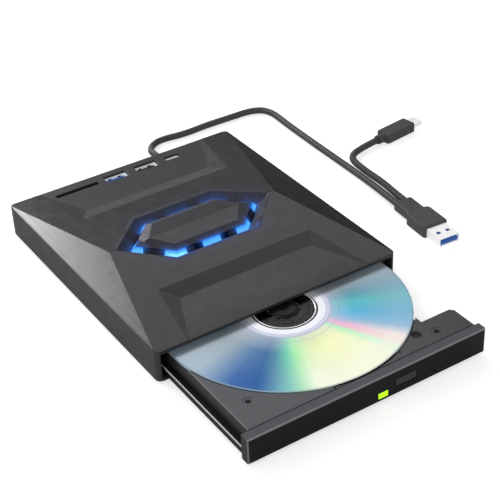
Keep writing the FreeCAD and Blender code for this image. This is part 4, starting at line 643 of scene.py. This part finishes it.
def glowing(name, deep, pale, strength):
    """A lit, slightly frosted plastic."""
    skin = Finish(name, Roughness=0.35, Specular_IOR_Level=0.4)
    frost = skin.noise(900.0, 2.0)
    broad = skin.noise(60.0, 1.0)
    mix = skin.sum("ADD", skin.remap(frost, *USUAL, 0.0, 0.25), skin.remap(broad, 0.35, 0.65, 0.0, 0.5))
    colour = skin.blend(mix, deep, pale)
    bump = skin.relief(frost, 0.01)
    skin.wear(Base_Color=deep, Emission_Color=colour, Emission_Strength=strength, Normal=bump)
    return skin


def window_glow(name):
    """The light guide: pale low down and near the left corner, deeper towards the top."""
    skin = glowing(name, "2f86ff", "6cc0ff", 1.0)
    x, y, z = skin.parts()
    lift = skin.remap(z, PAD_LOW, PAD_HIGH)
    along = skin.sum("ABSOLUTE", skin.sum("SUBTRACT", x, PAD_CORNER[0]))
    across = skin.sum("ABSOLUTE", skin.sum("SUBTRACT", y, PAD_CORNER[1]))
    corner = skin.remap(skin.sum("ADD", along, across), 4.0, 9.0, 1.0, 0.0)
    mix = skin.sum("ADD", corner, skin.remap(skin.noise(500.0, 2.0), 0.4, 0.7, 0.0, 0.12))
    colour = skin.blend(mix, skin.ramp(lift, PAD_BLUE), skin.ramp(lift, PAD_CYAN))
    return skin.wear(Emission_Color=colour)


finishes["light_guide"] = window_glow("light guide")
finishes["led_body"] = glowing("led body", "3d8cff", "a8dcff", 2.0).material
finishes["lamp"] = glowing("activity lamp", "a4ff10", "c2ff2a", 1.0).material
print("glowing finishes ready")

# %% [markdown]
# ## The disc
#
# A disc is a clear plate with a silvered spiral under its surface. The spiral splits light, so bands of
# colour fan out from the middle: each direction has its own colour, and the pattern repeats after half a
# turn. Cycles can't split light like that, so the colour is a ramp over the angle, warmer or colder with
# the radius, on a mostly metallic shader, and a faint glow in the same colour is painted light that lifts
# it in shade. Near the hole are clear plastic and mirrored circles, and the stacking ring is painted white
# as a highlight line.

# %% The disc's silvered layer
DISC_MIDDLE = Vector((0.0, -44.7, 0.0)) * MM
FAN = [
    (0.0, "9ba6ac"), (0.08, "92a3ad"), (0.16, "668aaa"), (0.235, "42749f"), (0.28, "5698a6"),
    (0.318, "68ceae"), (0.355, "a8f4a8"), (0.43, "e6f4b4"), (0.51, "f8ffb8"), (0.60, "f8ffc4"),
    (0.638, "b0fcc6"), (0.658, "fabcd0"), (0.684, "ecb2da"), (0.702, "a9c0de"), (0.745, "6cbce4"),
    (0.79, "40b4da"), (0.86, "40c0c4"), (0.905, "4c9eb0"), (0.95, "6e97a4"), (1.0, "9ba6ac"),
]
RINGS = [
    (0.0, "9aa0ac"), (0.05, "ffffff"), (0.16, "fbfcff"), (0.19, "d4d9ee"), (0.22, "ffffff"),
    (0.34, "f6f8ff"), (0.37, "c6cdea"), (0.40, "fafbff"), (0.52, "ffffff"), (0.56, "d8dcee"),
    (0.72, "cfd4e8"), (0.90, "d2d7e8"), (0.955, "b4bacb"), (0.985, "7f8899"), (1.0, "c9d2dc"),
]
RING_IN, RING_OUT = 15.9, 22.0
LINE_IN, LINE_OUT, RIM = 25.4, 25.7, 59.0
RIDGE_IN, RIDGE_OUT = 14.2, 15.4


def silvered_layer(name):
    """Bands of colour by direction from the centre, with mirrored circles near the hole, a painted glow and a
    painted highlight ring.
    """
    skin = Finish(name, Metallic=0.8, Roughness=0.31, Coat_Weight=0.2, Coat_Roughness=0.06)
    centred = skin.vector("SUBTRACT", skin.place, tuple(DISC_MIDDLE))
    x, y, z = skin.parts(centred)
    radius = skin.vector("LENGTH", skin.vector("MULTIPLY", centred, (1 / MM, 1 / MM, 0.0)), out=1)
    half_turns = skin.sum("DIVIDE", skin.sum("ARCTAN2", y, x), math.pi)
    turn = skin.sum("FRACT", skin.sum("ADD", half_turns, 2.0))
    fan = skin.ramp(turn, FAN)
    pale = skin.blend(0.4, fan, "b8ccde")
    blue = skin.blend(1.0, fan, (0.30, 0.56, 0.98, 1.0), "MULTIPLY")
    deep = skin.blend(skin.band(turn, 0.13, 0.30, 0.05), pale, blue)
    cream = skin.blend(skin.band(turn, 0.372, 0.705, 0.02), deep, skin.blend(0.75, fan, "fffff0"))
    data = skin.mottle(radius, fan, cream, 28.0, 53.0)
    data = skin.blend(skin.remap(radius, RING_OUT, 33.0, 0.5, 0.0), data, "cdd2e0")
    rings = skin.ramp(skin.remap(radius, RING_IN, RING_OUT), RINGS)
    colour = skin.mottle(radius, rings, data, RING_OUT, RING_OUT + 0.25)
    line = skin.times(skin.band(radius, LINE_IN, LINE_OUT, 0.1), 0.35)
    colour = skin.blend(line, colour, "6d7c88")
    colour = skin.mottle(radius, colour, "8fa3a8", RIM, RIM + 0.4, 0.6)
    # painted highlight: the stacking ring white all round
    colour = skin.blend(skin.band(radius, RIDGE_IN, RIDGE_OUT, 0.02), colour, "ffffff")
    cloud = skin.remap(skin.noise(60.0, 2.0), 0.35, 0.65, 0.95, 1.0)
    dim = skin.add("CombineXYZ", cloud, cloud, cloud)
    grooves = skin.add("TexWave", centred, 2600.0, 0.0, wave_type="RINGS", rings_direction="Z", out=1)
    # painted light: the disc's colour also glows faintly
    skin.shader.inputs["Emission Strength"].default_value = 0.12
    base = skin.blend(1.0, colour, dim, "MULTIPLY")
    return skin.wear(Base_Color=base, Emission_Color=colour, Normal=skin.relief(grooves, 0.001, 0.3))


def clear_plate(name):
    """The clear polycarbonate by the hole."""
    skin = Finish(name, Transmission_Weight=1.0, IOR=1.22, Roughness=0.03, Specular_IOR_Level=0.5)
    base = skin.mottle(skin.noise(300.0, 2.0), "b8bcc0", "c4c8cc")
    return skin.wear(Base_Color=base, Normal=skin.relief(skin.noise(60.0, 1.0), 0.001))


finishes["disc_plastic"] = silvered_layer("disc silver")
finishes["disc_clear"] = clear_plate("disc clear")
print("disc finishes:", finishes["disc_plastic"].name, finishes["disc_clear"].name)

# %% [markdown]
# ## Every solid gets its finish
#
# A solid whose shape is already right keeps its mesh and takes the material that stands for its slot. A
# few pieces that share a slot with others get a finish of their own, because they look different on the
# real drive.

# %% Finishes on the solids
OWN_FINISH = {
    "island_cap": "island_plastic",
    "turntable_pad": "pad_rubber",
    "blue_socket_shell": "socket_plate",
    "plain_socket_shell": "socket_plate",
    "small_socket_shell": "socket_plate",
}
for name, solid in nodes.items():
    for place in solid.material_slots:
        place.material = finishes[OWN_FINISH.get(name, place.material.name)]

# %% [markdown]
# ## Rounded copies
#
# The solids have knife edges, and no moulded or pressed part has. A finished copy merges the loose
# triangles, melts the flat ones into whole faces and rounds each edge with a bevel whose normals are
# hardened, so that flats stay flat. It takes the body and the slot of its solid, so it moves and is
# repainted as that solid would be.

# %% A finished copy of a solid
BROAD = 20.0 * MM * MM
MERGED, MELTED = 2e-6, math.radians(0.3)
SLIGHT = math.radians(1.5)


def shown(name, mesh, material):
    """An object at the origin with its place in its mesh."""
    mesh.materials.clear()
    mesh.materials.append(material)
    piece = bpy.data.objects.new(name, mesh)
    scene.collection.objects.link(piece)
    return piece


def cleaned(node, whole):
    """A solid's triangles as a bmesh, merged at their corners and, if whole, into flat faces."""
    source = nodes[node].data
    plain = bpy.data.meshes.new("plain " + node)
    plain.from_pydata([v.co for v in source.vertices], [], [tuple(face.vertices) for face in source.polygons])
    form = bmesh.new()
    form.from_mesh(plain)
    bmesh.ops.remove_doubles(form, verts=form.verts, dist=MERGED)
    if whole:
        bmesh.ops.dissolve_limit(form, angle_limit=MELTED, verts=form.verts, edges=form.edges)
    bpy.data.meshes.remove(plain)
    return form


def is_crease(edge, angle):
    """True between two flats: at a clear angle, or at a slight one where both faces are broad."""
    if len(edge.link_faces) != 2:
        return False
    bend = edge.calc_face_angle(0.0)
    broad = min(face.calc_area() for face in edge.link_faces) > BROAD
    return bend > angle or (broad and bend > SLIGHT)


def dressed(node, width, segments=2, angle=32, whole=True, finish=None):
    """A copy of a solid whose edges are rounded over a width in millimetres."""
    form = cleaned(node, whole)
    weight = form.edges.layers.float.new("bevel_weight_edge")
    for face in form.faces:
        face.smooth = True
    for edge in form.edges:
        crease = is_crease(edge, math.radians(angle))
        edge[weight] = 1.0 if crease else 0.0
        edge.smooth = not crease
    mesh = bpy.data.meshes.new(node + "_finished")
    form.to_mesh(mesh)
    form.free()
    material = finishes[finish] if finish else nodes[node].material_slots[0].material
    piece = shown(node + "_finished", mesh, material)
    bevel = piece.modifiers.new("rounded edges", "BEVEL")
    bevel.width = width * MM
    bevel.segments = segments
    bevel.limit_method = "WEIGHT"
    bevel.use_clamp_overlap = False
    bevel.harden_normals = True
    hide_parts(node)
    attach(piece, body_of(nodes[node])[0])
    return piece


# %% Rounded copies of the outer pieces
case_top = dressed("top_cover", 0.30, 3)
dressed("bottom_cover", 0.2)
dressed("island_cap", 0.2, whole=False)
dressed("bezel", 0.12)
dressed("tray", 0.15)
dressed("eject_button", 0.2)
for node in ("activity_lamp", "tray_rail_left", "tray_rail_right", "slide_rail_left", "slide_rail_right"):
    dressed(node, 0.15)
print("case faces:", len(case_top.data.polygons))

# %% Rounded copies of the plugs and the strain relief
large_body = dressed("usb_plug_body", 0.25, angle=40)
small_body = dressed("small_plug_body", 0.25, angle=40)
large_shell = dressed("usb_plug_shell", 0.12)
large_tongue = dressed("usb_plug_tongue", 0.15)
small_tip = dressed("small_plug_tip", 0.15)
boot = dressed("cable_boot", 0.15, finish="boot_rubber")
print("plug faces:", len(large_body.data.polygons), len(small_body.data.polygons))

# %% The cables ride with the case
for cable, node in ((host_cord, "host_cable"), (branch_cord, "branch_cable")):
    cable.data.materials.append(finishes["cord_rubber"])
    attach(cable, "case")
    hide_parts(node)

# %% [markdown]
# ## Pieces that repeat
#
# Screws, contacts and the turns of a thread are one small shape many times over. Each comes from a tree of
# geometry nodes with its sizes as named inputs: the shape is made once, set on points, made real and given
# its finish.

# %% A kit for patterns
SHARP = math.radians(30)


class Pattern:
    """A geometry tree with named sizes in millimetres, and short ways to add and link its nodes."""

    def __init__(self, name, **sizes):
        self.tree = bpy.data.node_groups.new(name, "GeometryNodeTree")
        for way in ("INPUT", "OUTPUT"):
            self.tree.interface.new_socket("Geometry", in_out=way, socket_type="NodeSocketGeometry")
        self.sizes = {}
        for label, size in sizes.items():
            kind = "NodeSocketInt" if isinstance(size, int) else "NodeSocketFloat"
            socket = self.tree.interface.new_socket(label.replace("_", " "), in_out="INPUT", socket_type=kind)
            self.sizes[socket.identifier] = size if isinstance(size, int) else size * MM
        self.given = self.tree.nodes.new("NodeGroupInput").outputs

    def add(self, kind, out=0, inputs=(), **settings):
        """A node: its inputs by number or name, and its settings."""
        node = self.tree.nodes.new(kind if kind.startswith("Shader") else "GeometryNode" + kind)
        for name, setting in settings.items():
            setattr(node, name, setting)
        for number, value in dict(inputs).items():
            for one in value if isinstance(value, list) else [value]:
                if isinstance(one, bpy.types.NodeSocket):
                    self.tree.links.new(one, node.inputs[number])
                else:
                    node.inputs[number].default_value = one
        return node.outputs[out]

    def sum(self, operation, *values):
        return self.add("ShaderNodeMath", inputs=enumerate(values), operation=operation)

    def vector(self, *values):
        return self.add("ShaderNodeCombineXYZ", inputs=enumerate(values))

    def cube(self, *sides):
        return self.add("MeshCube", inputs={0: self.vector(*sides)})

    def cylinder(self, vertices, radius, depth):
        return self.add("MeshCylinder", inputs={"Vertices": vertices, "Radius": radius, "Depth": depth})

    def moved(self, geometry, place, turn=(0.0, 0.0, 0.0)):
        return self.add("Transform", inputs={"Geometry": geometry, "Translation": place, "Rotation": turn})

    def set_on(self, points, shape):
        return self.add("InstanceOnPoints", inputs={"Points": points, "Instance": shape})

    def joined(self, *shapes):
        return self.add("JoinGeometry", inputs={0: list(reversed(shapes))})

    def made(self, name, shape, finish, node=None, points=((0.0, 0.0, 0.0),)):
        """Set a shape on points, make it real, and keep the result as a plain mesh."""
        real = self.add("RealizeInstances", inputs={0: self.set_on(self.given[0], shape)})
        done = self.add("SetMaterial", inputs={"Geometry": real, "Material": finishes[finish]})
        self.tree.links.new(done, self.tree.nodes.new("NodeGroupOutput").inputs[0])
        dots = bpy.data.meshes.new(name + " points")
        dots.from_pydata([Vector(point) * MM for point in points], [], [])
        host = bpy.data.objects.new(name + " host", dots)
        scene.collection.objects.link(host)
        modifier = host.modifiers.new("pattern", "NODES")
        modifier.node_group = self.tree
        for identifier, size in self.sizes.items():
            modifier[identifier] = size
        ready = host.evaluated_get(bpy.context.evaluated_depsgraph_get())
        mesh = bpy.data.meshes.new_from_object(ready)
        mesh.set_sharp_from_angle(angle=SHARP)
        bpy.data.objects.remove(host)
        piece = shown(name, mesh, finishes[finish])
        if node:
            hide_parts(node)
        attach(piece, body_of(nodes[node])[0] if node else "case")
        return piece


print("pattern kit ready")


# %% Cross-head screws
HEAD_RADIUS, HEAD_TAPER = 1.9, 0.84
CROSS_LENGTH, CROSS_WIDTH, CROSS_DEPTH = 2.2, 0.45, 0.35


def screws(name, node, places, head_depth, shank, shank_depth):
    """Pan heads that face down, each with a cross sunk in it, on their shanks."""
    pattern = Pattern(name, Head_Radius=HEAD_RADIUS, Head_Depth=head_depth, Shank_Radius=shank,
                      Shank_Depth=shank_depth, Slot_Length=CROSS_LENGTH, Slot_Width=CROSS_WIDTH,
                      Slot_Depth=CROSS_DEPTH)
    head_radius, depth, shank_radius, length, slot, width, sunk = pattern.given[1:8]
    foot = pattern.sum("MULTIPLY", head_radius, HEAD_TAPER)
    head = pattern.add("MeshCone", inputs={
        "Vertices": 28, "Radius Top": head_radius, "Depth": depth, "Radius Bottom": foot})
    cross = [pattern.cube(slot, width, sunk), pattern.cube(width, slot, sunk)]
    cut = pattern.add("MeshBoolean", inputs={"Mesh 1": head, "Mesh 2": cross},
                      operation="DIFFERENCE", solver="EXACT")
    rise = pattern.sum("ADD", depth, pattern.sum("MULTIPLY", length, 0.5))
    stem = pattern.moved(pattern.cylinder(18, shank_radius, length), pattern.vector(0.0, 0.0, rise))
    return pattern.made(name, pattern.joined(cut, stem), "screw_steel", node, places)


BASE_SCREWS_LOW, TRAY_SCREWS_LOW = 1.3, 6.35
case_places = [(x, y, BASE_SCREWS_LOW) for x in (-58, 58) for y in (90, 104.5)]
drive_places = [(x, y, BASE_SCREWS_LOW) for x in (-35, 24) for y in (-18, 62)]
traverse_places = [(x, y, TRAY_SCREWS_LOW) for x, y in ((-49.302, -89.759), (0.0, -19.24), (25.46, -44.7))]
screw_sets = [
    screws("cross_head_case_screws", "case_screws", case_places, 0.5, 0.9, 7.4),
    screws("cross_head_drive_screws", "drive_screws", drive_places, 0.5, 1.0, 1.0),
    screws("cross_head_traverse_screws", "traverse_screws", traverse_places, 0.45, 0.9, 3.8),
]
print("screw faces:", [len(piece.data.polygons) for piece in screw_sets])

# %% Contacts on the sockets' tongues
CONTACT_THICKNESS = 0.14


def contacts(name, middle, face, count, pitch, width, length, top):
    """Gold strips side by side on the front of a tongue."""
    pattern = Pattern(name, Count=count, Pitch=pitch, Width=width, Length=length, Thickness=CONTACT_THICKNESS)
    number, step, wide, long, thick = pattern.given[1:6]
    offset = pattern.vector(step, 0.0, 0.0)
    line = pattern.add("MeshLine", inputs={"Count": number, "Offset": offset})
    start = (MM * (middle - pitch * (count - 1) / 2), MM * face, MM * (top - length / 2))
    row = pattern.set_on(pattern.moved(line, start), pattern.cube(wide, thick, long))
    return pattern.made(name, row, "contact_gold")


contacts("wide_contacts_left", -7.6, 104.26, 4, 2.5, 1.1, 5.5, 15.2)
contacts("wide_contacts_right", 11.0, 104.26, 4, 2.5, 1.1, 5.5, 15.2)
contacts("small_contacts", 27.3, 103.93, 8, 0.7, 0.35, 4.0, 15.4)
print("contacts on three sockets")

# %% The lead screw's thread
PLAIN_END = 1.0


def thread(name, node, start, end, radius, pitch, depth):
    """A helix of a small round profile on a core, along the screw, with a plain end at each side."""
    run = math.dist(start, end)
    cut = run - 2 * PLAIN_END
    pattern = Pattern(name, Radius=radius - depth, Run=cut, Profile=depth, Turns=cut / pitch / MM)
    core_radius, height, profile, rounds = pattern.given[1:5]
    helix = pattern.add("CurveSpiral", inputs={
        "Resolution": 16, "Rotations": rounds, "Height": height, "Start Radius": core_radius,
        "End Radius": core_radius})
    ring = pattern.add("CurvePrimitiveCircle", inputs={"Resolution": 6, "Radius": profile})
    ridge = pattern.add("CurveToMesh", inputs={"Curve": helix, "Profile Curve": ring, "Fill Caps": True})
    ridge = pattern.moved(ridge, (0.0, 0.0, PLAIN_END * MM))
    core = pattern.moved(pattern.cylinder(24, core_radius, MM * run), (0.0, 0.0, MM * run / 2))
    heading = (Vector(end) - Vector(start)).to_track_quat("Z", "Y").to_euler()
    laid = pattern.moved(pattern.joined(ridge, core), Vector(start) * MM, heading)
    return pattern.made(name, laid, "rail_steel", node)


SCREW_FROM, SCREW_TO = (-24.324, -94.48, 9.3), (2.758, -67.398, 9.3)
worm = thread("threaded_lead_screw", "lead_screw", SCREW_FROM, SCREW_TO, 1.2, 3.0, 0.28)
print("thread faces:", len(worm.data.polygons))

# %% [markdown]
# ## The disc's shape
#
# The plate is turned: a profile of radius and height is spun round the spindle. It has a clear middle with
# a raised stacking ring and a moulded groove, then the silvered zone up to the rim. Both materials share
# one mesh.

# %% The disc, spun from its profile
DISC_LOW, DISC_TOP = 13.3, 14.5
GROOVE_LEVEL, RING_LEVEL, CHAMFER = DISC_TOP - 0.12, DISC_TOP + 0.13, 0.15
PROFILE = [
    (7.5, DISC_TOP - 0.1), (7.6, DISC_TOP), (11.2, DISC_TOP), (11.4, GROOVE_LEVEL), (11.9, GROOVE_LEVEL),
    (12.1, DISC_TOP), (14.5, DISC_TOP), (14.7, RING_LEVEL), (14.9, RING_LEVEL), (15.15, DISC_TOP),
    (RING_IN, DISC_TOP), (RING_OUT, DISC_TOP), (40.0, DISC_TOP), (58.6, DISC_TOP), (59.85, DISC_TOP),
    (60.0, DISC_TOP - CHAMFER), (60.0, DISC_LOW + CHAMFER), (59.85, DISC_LOW), (17.4, DISC_LOW),
    (RING_IN, DISC_LOW), (7.6, DISC_LOW), (7.5, DISC_LOW + 0.1),
]
RIDGE_FROM, RIDGE_TO = 14.45, 15.2
STEPS = 180


def spun_disc(name):
    """Rings of the profile joined into a closed plate."""
    form = bmesh.new()
    rings = []
    for step in range(STEPS):
        turn = 2 * math.pi * step / STEPS
        rings.append([form.verts.new(DISC_MIDDLE + Vector((r * math.cos(turn), r * math.sin(turn), z)) * MM)
                      for r, z in PROFILE])
    for here, ring in enumerate(rings):
        after = rings[(here + 1) % STEPS]
        for low in range(len(PROFILE)):
            high = (low + 1) % len(PROFILE)
            face = form.faces.new((ring[low], ring[high], after[high], after[low]))
            face.smooth = True
    bmesh.ops.recalc_face_normals(form, faces=form.faces)
    mesh = bpy.data.meshes.new(name)
    form.to_mesh(mesh)
    form.free()
    mesh.set_sharp_from_angle(angle=SHARP)
    piece = shown(name, mesh, finishes["disc_plastic"])
    mesh.materials.append(finishes["disc_clear"])
    for face in mesh.polygons:
        r = (face.center - DISC_MIDDLE).xy.length / MM
        ridge = RIDGE_FROM < r < RIDGE_TO and face.center.z > DISC_TOP * MM
        face.material_index = 1 if r < RING_IN and not ridge else 0
    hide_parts("disc")
    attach(piece, "spindle")
    return piece


disc = spun_disc("disc_plate")
print("disc faces:", len(disc.data.polygons))

# %% [markdown]
# ## Floor and light
#
# The floor is a plain pale sheet. Seen by the camera, or mirrored, it is lifted towards white, and it
# still takes the object's shadow. The soft sky has rings of different brightness, because each family of
# faces mirrors a ring of its own, and is dimmer towards the right. Three panels help: one behind that the
# left facet mirrors, a broad one further back whose light the case's front edge keeps off the disc, and a
# weak one in front.

# %% Floor
FLOOR_HALF = 6.0
SEEN_LIFT, MIRRORED_LIFT = 0.58, 0.1


def floor_finish():
    """Pale paper whose own shade is lifted for the camera and for reflections."""
    skin = Finish("pale floor", Roughness=0.9, Specular_IOR_Level=0.1)
    base = skin.mottle(skin.noise(3.0, 2.0), "dcdcdc", "e0e0e0")
    light = skin.tree.nodes.new("ShaderNodeLightPath").outputs
    mirrored = skin.sum("MAXIMUM", light["Is Glossy Ray"], light["Is Transmission Ray"])
    seen = skin.times(light["Is Camera Ray"], SEEN_LIFT)
    lift = skin.sum("MAXIMUM", seen, skin.times(mirrored, MIRRORED_LIFT))
    return skin.wear(Base_Color=base, Emission_Color="ffffff", Emission_Strength=lift)


corners = [(FLOOR_HALF * x, FLOOR_HALF * y, 0.0) for x, y in ((-1, -1), (1, -1), (1, 1), (-1, 1))]
ground = bpy.data.meshes.new("floor")
ground.from_pydata(corners, [], [(0, 1, 2, 3)])
floor = shown("floor", ground, floor_finish())
print("floor ready")

# %% Sky
SKY_LEVELS = (
    (0.0, 0.75), (0.17, 0.60), (0.28, 0.16), (0.42, 0.20), (0.49, 0.45),
    (0.55, 1.30), (0.64, 1.30), (0.75, 0.95), (0.80, 0.70), (0.87, 0.35),
)
BLUE_SHARE = 1.01
FADE_FROM, FADE_TO, LEFT_LEVEL, RIGHT_LEVEL = 0.44, 0.66, 1.0, 0.50

sky = bpy.data.worlds.new("studio sky")
scene.world = sky
sky.use_nodes = True
tree = sky.node_tree
tree.nodes.clear()
new, link = tree.nodes.new, tree.links.new
direction = new("ShaderNodeTexCoord").outputs["Generated"]
parts = new("ShaderNodeSeparateXYZ")
link(direction, parts.inputs[0])
ramp = new("ShaderNodeValToRGB")
band = ramp.color_ramp.elements
for extra in range(len(SKY_LEVELS) - 2):
    band.new(0.5)
for element, (place, level) in zip(band, SKY_LEVELS):
    element.position = place
    element.color = (level, level, level * BLUE_SHARE, 1.0)
link(parts.outputs[2], ramp.inputs[0])
aside = new("ShaderNodeMapRange")
for socket, number in zip(aside.inputs[1:5], (FADE_FROM, FADE_TO, LEFT_LEVEL, RIGHT_LEVEL)):
    socket.default_value = number
link(parts.outputs[0], aside.inputs[0])
background = new("ShaderNodeBackground")
link(ramp.outputs[0], background.inputs[0])
link(aside.outputs[0], background.inputs[1])
link(background.outputs[0], new("ShaderNodeOutputWorld").inputs[0])
print("sky ready")

# %% Panels
def panel(name, place, aim_at, width, height, power, mirrored=True, spread=True):
    """A soft rectangular light that faces a point, and may be left out of reflections or show there alone."""
    lamp = bpy.data.lights.new(name, "AREA")
    lamp.shape = "RECTANGLE"
    lamp.size, lamp.size_y = width, height
    lamp.energy = power
    holder = bpy.data.objects.new(name, lamp)
    away = (Vector(place) - Vector(aim_at)).normalized()
    holder.matrix_world = Matrix.Translation(place) @ away.to_track_quat("Z", "Y").to_matrix().to_4x4()
    holder.visible_diffuse = spread
    holder.visible_glossy = mirrored
    scene.collection.objects.link(holder)
    return holder


TARGET = (0.0, 0.0, 0.0)
TRAY_TARGET = (0.0, -0.06, 0.0)
panel("rear left window", (-0.04, 1.05, 0.58), TARGET, width=0.40, height=0.28, power=4.1, spread=False)
panel("behind", (-0.25, 1.25, 0.95), TARGET, width=1.0, height=0.7, power=9.0, mirrored=False)
panel("front left", (-0.55, -0.45, 0.42), TRAY_TARGET, width=0.3, height=0.3, power=0.9)

# %% The view's settings
scene.view_settings.view_transform = "Standard"
